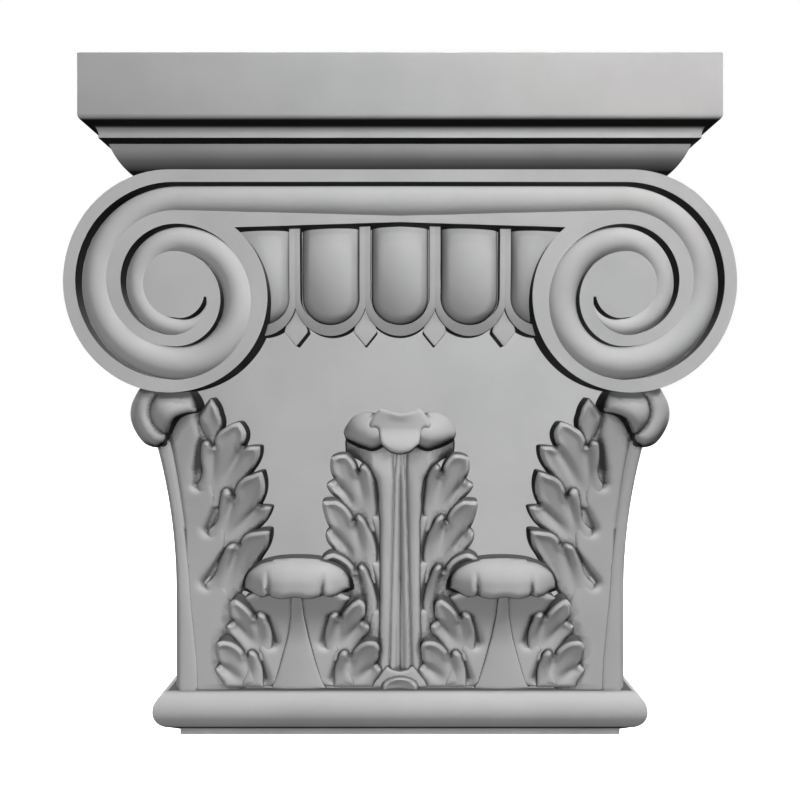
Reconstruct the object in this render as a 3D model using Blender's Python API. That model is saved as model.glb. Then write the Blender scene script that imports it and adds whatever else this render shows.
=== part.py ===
"""Capital of a flat pilaster, carved from one block of stone.

An abacus with its mouldings stands on a scroll band that rolls into a volute at each end. An egg row fills
the band's underside, and acanthus leaves with curled tips stand round the bell above the astragal. The back
is cut flat where the block meets the wall.

Frame: metres, +Z up, the front faces -Y. The origin is at the centre of the underside of the whole block.
Sizes are given as a carver reads them: across from the centre line, up from the underside, and as a depth
behind the plane of the volute faces.
"""

import math

import bmesh
import bpy
from mathutils import Vector

MM = 0.001
NAME = "carved_capital"

# Whole block
BLOCK_DEPTH = 0.100
ABACUS_PROJECTION = 0.008
FACE_PLANE = ABACUS_PROJECTION - BLOCK_DEPTH / 2
WALL_PLANE = BLOCK_DEPTH / 2

# Abacus and its mouldings, as an inset from the abacus edge and a height
ABACUS_HALF_WIDTH = 0.1391
ABACUS_TOP = 0.3055
ABACUS_ARRIS = 0.0008
SLAB_FOOT = 0.2786
SLOPE_INSET = 0.0072
SLOPE_FOOT = 0.2719
FILLET_FOOT = 0.26995
OVOLO_TOP = 0.2684
OVOLO_INSET = 0.0108
OVOLO_RADIUS = 0.0176

# Bell, astragal and necking
BELL_HALF_WIDTH = 0.100
BELL_DEPTH = 0.034
BELL_FOOT = 0.0223
BELL_HEAD = 0.2308
BELL_HEAD_PROJECTION = 0.012
ASTRAGAL_HEIGHT = 0.0137
ASTRAGAL_RADIUS = 0.0084
ASTRAGAL_HALF_WIDTH = 0.1138
ASTRAGAL_DEPTH = 0.024
NECK_HALF_WIDTH = 0.1022
NECK_DEPTH = 0.031
NECK_TOP = 0.0026

# Scroll band and volutes
SCROLL_THICKNESS = 0.0265
BAND_TOP = 0.2566
BAND_UNDERSIDE = 0.2336
VOLUTE_X = 0.101
VOLUTE_OUTER = (0.0465, 0.0488)
VOLUTE_INNER = (0.043, 0.042)
VOLUTE_SHOULDER = 0.039
SHOULDER_ANGLE = 51.0
CHANNEL_X = 0.0986
CHANNEL_DEPTH = 0.0095
ROLL_SETBACK = 0.0004
BAND_STEPS = 4
CHANNEL_MID_HEIGHT = 0.2438
CHANNEL_TOP_HEIGHT = 0.2450
CHANNEL_MID_WIDTH = 0.0149
# The channel winds in by half turns: half width and half height of each, and the width where it ends.
HALF_TURNS = (
    (0.0368, 0.03655, 0.0147),
    (0.0267, 0.02750, 0.0120),
    (0.0188, 0.01945, 0.0077),
)
CHANNEL_TOP_WIDTH = 0.0123
LAST_QUARTER = (0.0133, 0.0131, 0.0012)
BOLSTER_CENTRE = (0.0986, 0.2040)
# Bolster behind each volute: depth and scale of the volute's outline
BOLSTER_RINGS = (
    (0.010, 0.955), (0.028, 0.955), (0.036, 0.88), (0.048, 0.83),
    (0.064, 0.80), (0.078, 0.80), (0.079, 0.86), (0.097, 0.86),
)

# Egg row
EGG_PITCH = 0.0314
EGG_COUNT = 5
EGG_SHOULDER = 0.2018
EGG_HALF_WIDTH = 0.0128
EGG_DROP = 0.0122
FRAME_HALF_WIDTH = 0.0164
FRAME_DROP = 0.0172
FRAME_DEPTH = 0.011
FRAME_LEAN = 0.15
POCKET_DEPTH = 0.007
POCKET_OPENING = -0.004
# Each egg swells toward the row's face: the scale of its outline, and how deep below the face it lies there
EGG_SWELL = ((0.93, 0.0038), (0.75, 0.0016), (0.4, 0.0005))
EGG_MIDDLE = 0.35
EGG_ROW_TOP = 0.240
EGG_TOP = 0.2325
DART_TIP = 0.1799
DART_HEAD = 0.201
DART_HALF_WIDTH = 0.0054
DART_SHOULDER = 0.1866
DART_SETBACK = 0.003

# Leaves: how far their surface stands off the bell at some heights, and their tips everywhere
LEAF_BED = 0.0366
LEAF_RISE = (
    (0.021, 0.0033), (0.068, 0.0033), (0.090, 0.0043), (0.106, 0.0056), (0.125, 0.0088), (0.145, 0.0130),
)
TIP_RISE = 0.0135
TALL_LIFT = 0.0030
LOW_LIFT = 0.0055
LOW_LEAF_X = 0.0468
LOBE_ROOT_STEP = 0.001
LOBE_STEPS = 2
# Half of each leaf's body, as a height and where it starts and ends across
CORNER_SHEET = (
    (0.021, 0.072, 0.099), (0.050, 0.072, 0.099), (0.070, 0.080, 0.099), (0.095, 0.080, 0.099),
    (0.118, 0.086, 0.099), (0.147, 0.086, 0.099),
)
TALL_SHEET = (
    (0.021, -0.001, 0.017), (0.042, -0.001, 0.017), (0.062, -0.001, 0.015), (0.086, -0.001, 0.017),
    (0.108, -0.001, 0.018), (0.134, -0.001, 0.020), (0.140, -0.001, 0.010),
)
LOW_SHEET = (
    (0.021, -0.001, 0.020), (0.036, -0.001, 0.020), (0.046, -0.001, 0.017), (0.055, -0.001, 0.018),
    (0.067, -0.001, 0.024), (0.080, -0.001, 0.010),
)
# Stems and midribs, as a height, a half width and how far they stand off the leaf
TALL_STEM = (
    (0.0215, 0.0110, 0.0012), (0.064, 0.0094, 0.0015), (0.105, 0.0092, 0.0022), (0.138, 0.0094, 0.0030),
)
TALL_MIDRIB = (
    (0.0215, 0.0060, 0.0030), (0.064, 0.0042, 0.0034), (0.105, 0.0030, 0.0042), (0.138, 0.0020, 0.0052),
)
LOW_STEM = (
    (0.0215, 0.0112, 0.0014), (0.036, 0.0072, 0.0020), (0.050, 0.0042, 0.0028), (0.068, 0.0023, 0.0040),
)
STEM_SHOULDER = 0.6
RIB_WIDTH = 0.006
RIB_PROUD = 0.0008
RIB_ARRIS = 0.0015

# Curled tips, as the centre of a stretched ball (across, depth, up) and its half sizes
CORNER_BOSS = ((0.1017, 0.0125, 0.1504), (0.0096, 0.0096, 0.0096))
CORNER_CREST = ((0.1062, 0.0220, 0.1480), (0.0141, 0.0160, 0.0155))
LOW_HOOD = ((LOW_LEAF_X, 0.0310, 0.0655), (0.0260, 0.0240, 0.0207))
LOW_HOOD_FOOT = 0.065
LOW_CURL = ((LOW_LEAF_X, 0.0155, 0.0755), (0.0235, 0.0100, 0.0088))
TALL_ROLL = ((0.0145, 0.0155, 0.1420), (0.0105, 0.0130, 0.0085))
TALL_PETAL = ((0.0, 0.0135, 0.1418), (0.0105, 0.0135, 0.0100))
TALL_KNOB = ((0.0, 0.0245, 0.0215), (0.0125, 0.0060, 0.0085))

# Lobes of each half leaf, in millimetres: across, up, and how far the stretch to the next point swells, as
# a part of its length. The corner leaf and the tall leaf are measured from the capital's centre line, the
# low leaf from its own.
CORNER_LOBES = (
    ((94, 143, 0.05), (86.3, 155, 0.12), (82.2, 148.4, 0.1), (82.4, 141, 0), (88, 130, 0), (96, 130, 0)),
    (
        (93.9, 117, -0.1), (91.3, 124, 0.05), (91.6, 134, 0.25), (87.9, 137.3, 0.1),
        (85.6, 134.6, 0.15), (79.7, 143.3, 0.1), (73.2, 145.6, 0.2), (71.9, 134.1, 0.05),
        (64.1, 134.6, 0.1), (67.3, 124, 0),
        (80, 106, 0), (94, 104, 0),
    ),
    (
        (89.3, 95.5, -0.1), (84.3, 102, 0.03), (82.9, 112, 0.25), (79.2, 115.3, 0.1), (76.9, 111.2, 0.18),
        (67.7, 121.7, 0.05), (63.1, 123.1, 0.12), (64.5, 107, 0.05), (59, 106.6, 0.08), (64.1, 97.4, 0),
        (76, 86, 0), (91, 84, 0),
    ),
    (
        (90.7, 70.3, -0.1), (85.6, 76.3, 0.03), (82, 85.4, 0.2), (76, 89.6, 0.1), (74.6, 88.7, 0.18),
        (65.9, 95.5, 0.05), (59.5, 96, 0.1), (63, 84, 0), (76, 62, 0), (91, 56, 0),
    ),
)
TALL_LOBES = (
    (
        (10.3, 105.2, 0), (11.7, 119, 0.1), (16.2, 126.6, 0.2), (19.1, 122.6, 0.1), (24, 131, 0.1),
        (31.5, 129.5, 0.1), (30.3, 119.3, 0), (34, 116.9, 0.1), (28.7, 110, 0), (20, 94, 0), (11, 94, 0),
    ),
    (
        (10.3, 83.6, 0.05), (14.6, 98, 0.12), (19.1, 103.6, 0.2), (20.9, 99.7, 0.12), (28.7, 110, 0.04),
        (35.6, 109.4, 0.05), (32.4, 96.5, 0.1), (34.4, 93.7, 0.1), (31.5, 87.3, 0), (24, 72, 0),
        (11, 70, 0),
    ),
    (
        (10.3, 61.6, 0.02), (14, 76, 0.12), (17.7, 80.6, 0.2), (20, 77.2, 0.12), (30.5, 86.1, 0.08),
        (36, 83, 0), (36, 60, 0), (22, 42, 0), (11, 40, 0),
    ),
)
LOW_LOBES = (
    (
        (11.9, 44, 0.05), (13.6, 55, 0.15), (16.5, 59.2, 0.25), (19.4, 56.3, 0.08), (28, 65.4, 0.2),
        (31.2, 60, 0.1), (29.8, 54.2, 0), (32.9, 52.4, 0.15), (30.6, 46.3, 0), (24, 36, 0), (13, 34, 0),
    ),
    (
        (16.2, 27, 0.05), (17.8, 36.5, 0.15), (20.9, 41.2, 0.2), (23.9, 38.2, 0.1), (30, 45.2, 0.1),
        (36, 45.6, 0.15), (37.3, 40, 0.05), (36.2, 34, 0), (39.2, 32, 0.12), (36, 22, 0), (16, 21, 0),
    ),
)

# Steps of the curves: each volute's half turn, each of the channel's, and the foot of each egg
VOLUTE_STEPS = 12
CHANNEL_STEPS = 8
EGG_STEPS = 8
RING_STEPS = 8
OVOLO_STEPS = 6
ROLL_STEPS = 6

STONE = (0.45, 0.45, 0.44, 1.0)
SMOOTH_ANGLE = 35


def clear_scene():
    """Remove every object the file started with."""
    for obj in list(bpy.data.objects):
        bpy.data.objects.remove(obj, do_unlink=True)


def new_collection(name, hidden=False):
    """Link a new collection into the scene."""
    collection = bpy.data.collections.new(name)
    bpy.context.scene.collection.children.link(collection)
    collection.hide_render = hidden
    return collection


def stone():
    """Fine-grained grey stone."""
    material = bpy.data.materials.new("carved_stone")
    material.use_nodes = True
    shader = material.node_tree.nodes["Principled BSDF"]
    shader.inputs["Base Color"].default_value = STONE
    shader.inputs["Roughness"].default_value = 0.6
    shader.inputs["Metallic"].default_value = 0.0
    return material


def add_mesh(name, collection, bm):
    """Make an object of a closed mesh, with its faces pointing outward."""
    bmesh.ops.recalc_face_normals(bm, faces=bm.faces)
    if bm.calc_volume(signed=True) < 0:
        bmesh.ops.reverse_faces(bm, faces=bm.faces)
    mesh = bpy.data.meshes.new(name)
    bm.to_mesh(mesh)
    bm.free()
    mesh.shade_smooth()
    mesh.set_sharp_from_angle(angle=math.radians(SMOOTH_ANGLE))
    obj = bpy.data.objects.new(name, mesh)
    collection.objects.link(obj)
    return obj


def helper(name, collection, bm):
    """A closed shape that is joined to the block or cut from it, and isn't shown itself."""
    obj = add_mesh(name, collection, bm)
    obj.hide_render = True
    obj.display_type = "WIRE"
    return obj


def loft(rings):
    """Skin a row of rings that have the same number of points, and cap both ends."""
    bm = bmesh.new()
    rows = [[bm.verts.new(point) for point in ring] for ring in rings]
    count = len(rows[0])
    for lower, upper in zip(rows, rows[1:]):
        for i in range(count):
            j = (i + 1) % count
            bm.faces.new((lower[i], lower[j], upper[j], upper[i]))
    bm.faces.new(rows[0])
    bm.faces.new(rows[-1])
    bm.normal_update()
    return bm


def swollen(template, steps):
    """Turn a lobe's template into points in metres, each swelling stretch as an arc of a few steps."""
    points = [Vector((x * MM, z * MM)) for x, z, _ in template]
    area = sum(a.x * b.y - b.x * a.y for a, b in zip(points, points[1:] + points[:1]))
    outward = 1 if area > 0 else -1
    outline = []
    for i, (_, _, swell) in enumerate(template):
        start = points[i]
        end = points[(i + 1) % len(points)]
        run = end - start
        bow = Vector((run.y, -run.x)) * swell * outward
        count = steps if abs(swell) > 0.01 else 1
        for k in range(count):
            t = k / count
            outline.append(start + run * t + bow * 4 * t * (1 - t))
    return [(p.x, p.y) for p in outline]


def prism(outline, front, back):
    """Stand a flat outline up as a prism whose front face follows a depth function of across and up."""
    bm = bmesh.new()
    faces = [bm.verts.new((x, FACE_PLANE + front(x, z), z)) for x, z in outline]
    rear = [bm.verts.new((x, FACE_PLANE + back, z)) for x, z in outline]
    for i in range(len(outline)):
        j = (i + 1) % len(outline)
        bm.faces.new((faces[i], faces[j], rear[j], rear[i]))
    bm.faces.new(faces)
    bm.faces.new(rear)
    bm.normal_update()
    bmesh.ops.triangulate(bm, faces=bm.faces)
    return bm


def half_ellipse(centre, radii, start, end, steps):
    """Points on an ellipse from one angle to another, both ends included."""
    points = []
    for i in range(steps + 1):
        angle = math.radians(start + (end - start) * i / steps)
        points.append((centre[0] + radii[0] * math.cos(angle), centre[1] + radii[1] * math.sin(angle)))
    return points


def core_rings():
    """Half width, depth and height of each level of the block, from the necking up to the abacus."""
    levels = [(NECK_HALF_WIDTH, NECK_DEPTH, 0.0), (NECK_HALF_WIDTH, NECK_DEPTH, NECK_TOP)]
    centre_width = ASTRAGAL_HALF_WIDTH - ASTRAGAL_RADIUS
    centre_depth = ASTRAGAL_DEPTH + ASTRAGAL_RADIUS
    for i in range(RING_STEPS + 1):
        angle = math.radians(-90 + 180 * i / RING_STEPS)
        reach = ASTRAGAL_RADIUS * math.cos(angle)
        height = ASTRAGAL_HEIGHT + ASTRAGAL_RADIUS * math.sin(angle)
        levels.append((centre_width + reach, centre_depth - reach, height))
    levels.append((BELL_HALF_WIDTH, BELL_DEPTH, BELL_FOOT))
    levels.append((BELL_HALF_WIDTH, BELL_DEPTH, BELL_HEAD))
    for height in (BELL_HEAD + MM, OVOLO_TOP - OVOLO_RADIUS - MM):
        levels.append((BELL_HALF_WIDTH, BELL_DEPTH - BELL_HEAD_PROJECTION, height))
    mouldings = []
    for i in range(OVOLO_STEPS + 1):
        angle = math.radians(90 * i / OVOLO_STEPS)
        inset = OVOLO_INSET + OVOLO_RADIUS * (1 - math.sin(angle))
        mouldings.append((inset, OVOLO_TOP - OVOLO_RADIUS * math.cos(angle)))
    mouldings += [(SLOPE_INSET, FILLET_FOOT), (SLOPE_INSET, SLOPE_FOOT), (0.0, SLAB_FOOT)]
    mouldings += [(0.0, ABACUS_TOP - ABACUS_ARRIS), (ABACUS_ARRIS, ABACUS_TOP)]
    for inset, height in mouldings:
        levels.append((ABACUS_HALF_WIDTH - inset, inset - ABACUS_PROJECTION, height))
    return levels


def build_core(collection):
    """Necking, astragal, bell and abacus as one stack of mitred levels with a flat back."""
    rings = []
    for half, depth, height in core_rings():
        front = FACE_PLANE + depth
        plan = ((-half, front), (half, front), (half, WALL_PLANE), (-half, WALL_PLANE))
        rings.append([(x, y, height) for x, y in plan])
    return add_mesh(NAME, collection, loft(rings))


def volute_outline(steps):
    """Outline of one volute from the band's top edge, round the outside and up to the band's underside."""
    outer_z = BAND_TOP - VOLUTE_OUTER[1]
    outline = half_ellipse((VOLUTE_X, outer_z), VOLUTE_OUTER, 90, -90, steps)
    inner_z = BAND_TOP - 2 * VOLUTE_OUTER[1] + VOLUTE_INNER[1]
    outline += half_ellipse((VOLUTE_X, inner_z), VOLUTE_INNER, -90, -180, steps // 2)[1:]
    shoulder_x = VOLUTE_X - VOLUTE_INNER[0] + VOLUTE_SHOULDER
    shoulder = (VOLUTE_SHOULDER, VOLUTE_SHOULDER)
    outline += half_ellipse((shoulder_x, inner_z), shoulder, 180, 180 - SHOULDER_ANGLE, steps // 4)[1:]
    return outline


def scroll_outline(steps):
    """Outline of the band and both volutes as one plate."""
    right = volute_outline(steps)
    underside = [(0.0, BAND_UNDERSIDE)]
    left = [(-x, z) for x, z in reversed(right)]
    return right + underside + left


def channel_line(steps):
    """Centre line and width of the channel on the right half, from the centre of the band into the eye."""
    line = []
    for i in range(BAND_STEPS):
        t = i / BAND_STEPS
        height = CHANNEL_MID_HEIGHT + (CHANNEL_TOP_HEIGHT - CHANNEL_MID_HEIGHT) * t
        width = CHANNEL_MID_WIDTH + (CHANNEL_TOP_WIDTH - CHANNEL_MID_WIDTH) * t
        line.append((CHANNEL_X * t, height, width))
    height = CHANNEL_TOP_HEIGHT
    width = CHANNEL_TOP_WIDTH
    start = 90
    for number, (across, up, end_width) in enumerate((*HALF_TURNS, LAST_QUARTER)):
        last = number == len(HALF_TURNS)
        sweep = 90 if last else 180
        centre = height - up if number % 2 == 0 else height + up
        count = steps // 2 if last else steps
        for i in range(count + (1 if last else 0)):
            t = i / count
            angle = math.radians(start - sweep * t)
            x = CHANNEL_X + across * math.cos(angle)
            line.append((x, centre + up * math.sin(angle), width + (end_width - width) * t))
        height = centre - up if number % 2 == 0 else centre + up
        width = end_width
        start -= sweep
    return line


def channel_section(width):
    """Section of what the chisel takes out: straight sides, and a floor that leaves a round roll."""
    half = width / 2
    section = [(-half, -MM), (half, -MM)]
    for i in range(ROLL_STEPS + 1):
        angle = math.radians(180 * i / ROLL_STEPS)
        crown = (CHANNEL_DEPTH - ROLL_SETBACK) * math.sin(angle)
        section.append((half * math.cos(angle), CHANNEL_DEPTH - crown))
    return section


def build_channel(collection, steps):
    """Sweep the channel's section along the band and into both eyes."""
    right = channel_line(steps)
    left = [(-x, z, w) for x, z, w in reversed(right[1:])]
    line = left + right
    rings = []
    for i, (x, z, width) in enumerate(line):
        before = line[max(i - 1, 0)]
        after = line[min(i + 1, len(line) - 1)]
        along = Vector((after[0] - before[0], after[1] - before[1])).normalized()
        across = Vector((-along.y, along.x))
        section = channel_section(width)
        rings.append([(x + across.x * s, FACE_PLANE + depth, z + across.y * s) for s, depth in section])
    return helper("scroll_channel", collection, loft(rings))


def build_bolster(collection, side, steps):
    """The roll behind a volute: it narrows to a waist and carries a plain strap next to the wall."""
    outline = volute_outline(steps)
    rings = []
    for depth, scale in BOLSTER_RINGS:
        ring = []
        for x, z in outline:
            across = BOLSTER_CENTRE[0] + (x - BOLSTER_CENTRE[0]) * scale
            up = BOLSTER_CENTRE[1] + (z - BOLSTER_CENTRE[1]) * scale
            ring.append((side * across, FACE_PLANE + depth, up))
        rings.append(ring)
    return helper(f"bolster_{'right' if side > 0 else 'left'}", collection, loft(rings))


def tongue(centre, half_width, drop, top, steps):
    """A tongue-shaped outline: straight sides under a flat top, and an elliptical foot."""
    foot = half_ellipse((centre, EGG_SHOULDER), (half_width, drop), 0, -180, steps)
    return [(centre + half_width, top)] + foot + [(centre - half_width, top)]


def row_lean(x, z):
    """Depth of the egg row's face, which leans back toward its foot."""
    return FRAME_DEPTH + FRAME_LEAN * (EGG_TOP - z)


def build_egg_row(joined, cut, steps):
    """Frames, pockets, eggs and darts of the row."""
    for i in range(EGG_COUNT):
        centre = (i - (EGG_COUNT - 1) / 2) * EGG_PITCH
        frame = tongue(centre, FRAME_HALF_WIDTH, FRAME_DROP, EGG_ROW_TOP, steps)
        helper(f"egg_frame_{i}", joined, prism(frame, row_lean, LEAF_BED))
        pocket = tongue(centre, EGG_HALF_WIDTH, EGG_DROP, EGG_TOP, steps)
        rings = []
        middle = EGG_SHOULDER + (EGG_TOP - EGG_SHOULDER) * EGG_MIDDLE
        for scale, depth in ((1.0, POCKET_OPENING), (1.0, POCKET_DEPTH), *EGG_SWELL):
            ring = []
            for x, z in pocket:
                up = middle + (z - middle) * scale if z < EGG_TOP else z
                across = centre + (x - centre) * scale
                ring.append((across, FACE_PLANE + row_lean(across, up) + depth, up))
            rings.append(ring)
        helper(f"egg_pocket_{i}", cut, loft(rings))
    for i in range(EGG_COUNT - 1):
        centre = (i - (EGG_COUNT - 2) / 2) * EGG_PITCH
        dart = [
            (centre, DART_TIP), (centre + DART_HALF_WIDTH, DART_SHOULDER),
            (centre, DART_HEAD), (centre - DART_HALF_WIDTH, DART_SHOULDER),
        ]
        helper(f"dart_{i}", joined, prism(dart, lambda x, z: row_lean(x, z) + DART_SETBACK, LEAF_BED))


def leaf_rise(height):
    """How far the surface of a leaf stands off the bell at a height: it leans out toward its head."""
    for (low, rise), (high, next_rise) in zip(LEAF_RISE, LEAF_RISE[1:]):
        if height <= high:
            t = min(max((height - low) / (high - low), 0), 1)
            return rise + (next_rise - rise) * t
    return LEAF_RISE[-1][1]


def lobe_depth(template, lift):
    """Depth of a lobe, which rises from the leaf's surface at its root to the full height at its tip."""
    root = Vector(template[0][:2]) * MM
    tip = Vector(max(template, key=lambda point: point[1])[:2]) * MM
    run = tip - root

    def depth(x, z):
        t = min(max((Vector((x, z)) - root).dot(run) / run.length_squared, 0), 1)
        surface = leaf_rise(z) + lift
        return BELL_DEPTH - surface - LOBE_ROOT_STEP - max(TIP_RISE - surface, 0) * t

    return depth


def build_lobes(name, collection, lobes, lift, side, place=0.0, turned=False):
    """Stand the lobes of one half leaf against the bell."""
    for number, template in enumerate(lobes):
        bm = prism(swollen(template, LOBE_STEPS), lobe_depth(template, lift), LEAF_BED)
        place_leaf(bm, side, place, turned)
        helper(f"{name}_lobe_{number}", collection, bm)


def place_leaf(bm, side, place, turned):
    """Move a leaf piece to its side of the capital, or round the corner onto the flank of the bell."""
    bell_front = FACE_PLANE + BELL_DEPTH
    for vert in bm.verts:
        x, y, z = vert.co
        if turned:
            x, y = BELL_HALF_WIDTH + bell_front - y, bell_front + BELL_HALF_WIDTH - x
        vert.co = (place + side * x, y, z)


def build_sheet(name, collection, rows, lift, side, place=0.0, turned=False):
    """The body of a half leaf, between its midrib and its lobes."""
    rings = []
    for height, inner, outer in rows:
        front = FACE_PLANE + BELL_DEPTH - leaf_rise(height) - lift
        back = FACE_PLANE + LEAF_BED
        plan = ((inner, front), (outer, front), (outer, back), (inner, back))
        rings.append([(x, y, height) for x, y in plan])
    bm = loft(rings)
    place_leaf(bm, side, place, turned)
    helper(name, collection, bm)


def build_corner_rib(name, collection, side):
    """Midrib of a corner leaf, which stands on the bell's corner and leans out with the leaf."""
    rings = []
    bell_front = FACE_PLANE + BELL_DEPTH
    for height, rise in LEAF_RISE:
        reach = rise + RIB_PROUD
        inner = RIB_WIDTH - rise / 2
        plan = (
            (-inner, -reach + RIB_ARRIS), (-inner + RIB_ARRIS, -reach), (reach - RIB_ARRIS, -reach),
            (reach, -reach + RIB_ARRIS), (reach, inner - RIB_ARRIS), (reach - RIB_ARRIS, inner),
            (-inner, inner),
        )
        rings.append([(side * (BELL_HALF_WIDTH + x), bell_front + y, height) for x, y in plan])
    helper(name, collection, loft(rings))


def tip(name, collection, form, side, foot=None):
    """A stretched ball for a curled tip, cut flat below where a foot height is given."""
    centre, radii = form
    middle = (side * centre[0], FACE_PLANE + centre[1], centre[2])
    bm = bmesh.new()
    bmesh.ops.create_uvsphere(bm, u_segments=14, v_segments=8, radius=1.0)
    for vert in bm.verts:
        vert.co = [middle[k] + vert.co[k] * radii[k] for k in range(3)]
    if foot is not None:
        everything = bm.verts[:] + bm.edges[:] + bm.faces[:]
        cut = bmesh.ops.bisect_plane(
            bm, geom=everything, plane_co=(0, 0, foot), plane_no=(0, 0, -1), clear_outer=True
        )
        rim = [edge for edge in cut["geom_cut"] if isinstance(edge, bmesh.types.BMEdge)]
        bmesh.ops.holes_fill(bm, edges=rim)
    helper(name, collection, bm)


def build_stem(name, collection, place, levels, lift):
    """A stem or a midrib on the front of a leaf, with sloping flanks."""
    rings = []
    for height, half, proud in levels:
        front = FACE_PLANE + BELL_DEPTH - leaf_rise(height) - lift - proud
        edge = front + proud * STEM_SHOULDER
        back = FACE_PLANE + LEAF_BED
        crown = half * STEM_SHOULDER
        plan = ((-half, edge), (-crown, front), (crown, front), (half, edge), (half, back), (-half, back))
        rings.append([(place + x, y, height) for x, y in plan])
    helper(name, collection, loft(rings))


def build_corner_leaf(collection, hand, side):
    """A leaf folded round the bell's corner, with half of it on the front and half on the flank."""
    for where, turned in (("front", False), ("flank", True)):
        build_sheet(f"corner_sheet_{hand}_{where}", collection, CORNER_SHEET, 0.0, side, turned=turned)
        build_lobes(f"corner_{hand}_{where}", collection, CORNER_LOBES, 0.0, side, turned=turned)
    build_corner_rib(f"corner_rib_{hand}", collection, side)
    tip(f"corner_boss_{hand}", collection, CORNER_BOSS, side)
    tip(f"corner_crest_{hand}", collection, CORNER_CREST, side)


def build_low_leaf(collection, hand, side):
    """A low leaf with a flared stem, and a hood that curls over at the front."""
    place = side * LOW_LEAF_X
    for half in (-1, 1):
        where = "outer" if half == side else "inner"
        build_sheet(f"low_sheet_{hand}_{where}", collection, LOW_SHEET, LOW_LIFT, half, place)
        build_lobes(f"low_{hand}_{where}", collection, LOW_LOBES, LOW_LIFT, half, place)
    build_stem(f"low_stem_{hand}", collection, place, LOW_STEM, LOW_LIFT)
    tip(f"low_hood_{hand}", collection, LOW_HOOD, side, LOW_HOOD_FOOT)
    tip(f"low_curl_{hand}", collection, LOW_CURL, side)


def build_tall_leaf(collection):
    """The tall middle leaf: a raised midrib, a knob at its foot and a tip curled over in three folds."""
    for side, hand in ((-1, "left"), (1, "right")):
        build_sheet(f"tall_sheet_{hand}", collection, TALL_SHEET, TALL_LIFT, side)
        build_lobes(f"tall_{hand}", collection, TALL_LOBES, TALL_LIFT, side)
        tip(f"tall_roll_{hand}", collection, TALL_ROLL, side)
    build_stem("tall_stem", collection, 0.0, TALL_STEM, TALL_LIFT)
    build_stem("tall_midrib", collection, 0.0, TALL_MIDRIB, TALL_LIFT)
    tip("tall_petal", collection, TALL_PETAL, 1)
    tip("tall_knob", collection, TALL_KNOB, 1, BELL_FOOT - MM)


def build_leaves(collection):
    """The two corner leaves, the two low leaves and the tall one between them."""
    for side, hand in ((-1, "left"), (1, "right")):
        build_corner_leaf(collection, hand, side)
        build_low_leaf(collection, hand, side)
    build_tall_leaf(collection)


def join_all(block, joined, cut):
    """Unite the block with what stands on it, and take out the channel and the egg pockets."""
    for operation, pieces in (("UNION", joined), ("DIFFERENCE", cut)):
        modifier = block.modifiers.new(operation.lower(), "BOOLEAN")
        modifier.operation = operation
        modifier.operand_type = "COLLECTION"
        modifier.collection = pieces
        modifier.solver = "MANIFOLD"


def build_scroll(joined, cut):
    """The plate of the scroll with its channel, and the bolsters that run back from the volutes."""
    outline = scroll_outline(VOLUTE_STEPS)
    helper("scroll_plate", joined, prism(outline, lambda x, z: 0.0, SCROLL_THICKNESS))
    for side in (-1, 1):
        build_bolster(joined, side, VOLUTE_STEPS)
    build_channel(cut, CHANNEL_STEPS)


def build_wall_cut(cut):
    """A box behind the wall plane, which trims the back flat."""
    bm = bmesh.new()
    bmesh.ops.create_cube(bm, size=1.0)
    bmesh.ops.translate(bm, verts=bm.verts, vec=(0, WALL_PLANE + 0.5, ABACUS_TOP / 2))
    helper("wall_cut", cut, bm)


def main():
    clear_scene()
    parts = new_collection(NAME)
    joined = new_collection("joined_forms", hidden=True)
    cut = new_collection("cutters", hidden=True)
    block = build_core(parts)
    build_scroll(joined, cut)
    build_egg_row(joined, cut, EGG_STEPS)
    build_leaves(joined)
    build_wall_cut(cut)
    join_all(block, joined, cut)
    block.data.materials.append(stone())


main()
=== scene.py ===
"""Carved stone capital of a flat pilaster: its finished surfaces, stage, lights and camera.

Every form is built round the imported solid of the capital. Sizes are in millimetres and read as a carver reads
them: across from the centre line, up from the underside, and as a depth behind the plane of the volute faces.
"""

import logging
import math
from collections.abc import Callable, Sequence
from dataclasses import dataclass, field
from enum import Enum

import bmesh
import bpy
import numpy as np
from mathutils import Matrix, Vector
from mathutils.bvhtree import BVHTree
from mathutils.geometry import delaunay_2d_cdt

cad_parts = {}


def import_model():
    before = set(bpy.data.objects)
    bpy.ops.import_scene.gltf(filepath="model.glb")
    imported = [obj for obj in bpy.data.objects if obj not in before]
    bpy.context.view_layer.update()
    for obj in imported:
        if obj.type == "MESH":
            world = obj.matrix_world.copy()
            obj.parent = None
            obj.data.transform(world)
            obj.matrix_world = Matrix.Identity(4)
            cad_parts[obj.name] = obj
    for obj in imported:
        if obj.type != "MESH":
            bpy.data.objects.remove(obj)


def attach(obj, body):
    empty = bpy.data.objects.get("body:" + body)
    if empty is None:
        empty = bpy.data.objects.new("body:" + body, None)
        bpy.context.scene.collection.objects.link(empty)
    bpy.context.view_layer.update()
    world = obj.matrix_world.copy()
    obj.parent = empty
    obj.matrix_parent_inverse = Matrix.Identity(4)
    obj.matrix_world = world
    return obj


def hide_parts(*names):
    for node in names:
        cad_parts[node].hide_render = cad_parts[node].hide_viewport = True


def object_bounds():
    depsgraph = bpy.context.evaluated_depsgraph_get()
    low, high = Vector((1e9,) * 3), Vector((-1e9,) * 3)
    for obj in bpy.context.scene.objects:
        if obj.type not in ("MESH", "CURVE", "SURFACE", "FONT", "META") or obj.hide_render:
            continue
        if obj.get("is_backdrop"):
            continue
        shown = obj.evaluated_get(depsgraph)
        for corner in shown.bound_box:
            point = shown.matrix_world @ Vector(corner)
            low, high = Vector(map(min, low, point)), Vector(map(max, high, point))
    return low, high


LOG = logging.getLogger("capital")

MM = 0.001
NODE = "carved_capital"
BODY = "root"
# Name of the stored painted shade: darkening of the stone's colour on walls, undersides and hollows, where
# shade falls.
PAINTED_SHADE = "dust"
WHITE = (1.0, 1.0, 1.0, 1.0)

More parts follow.
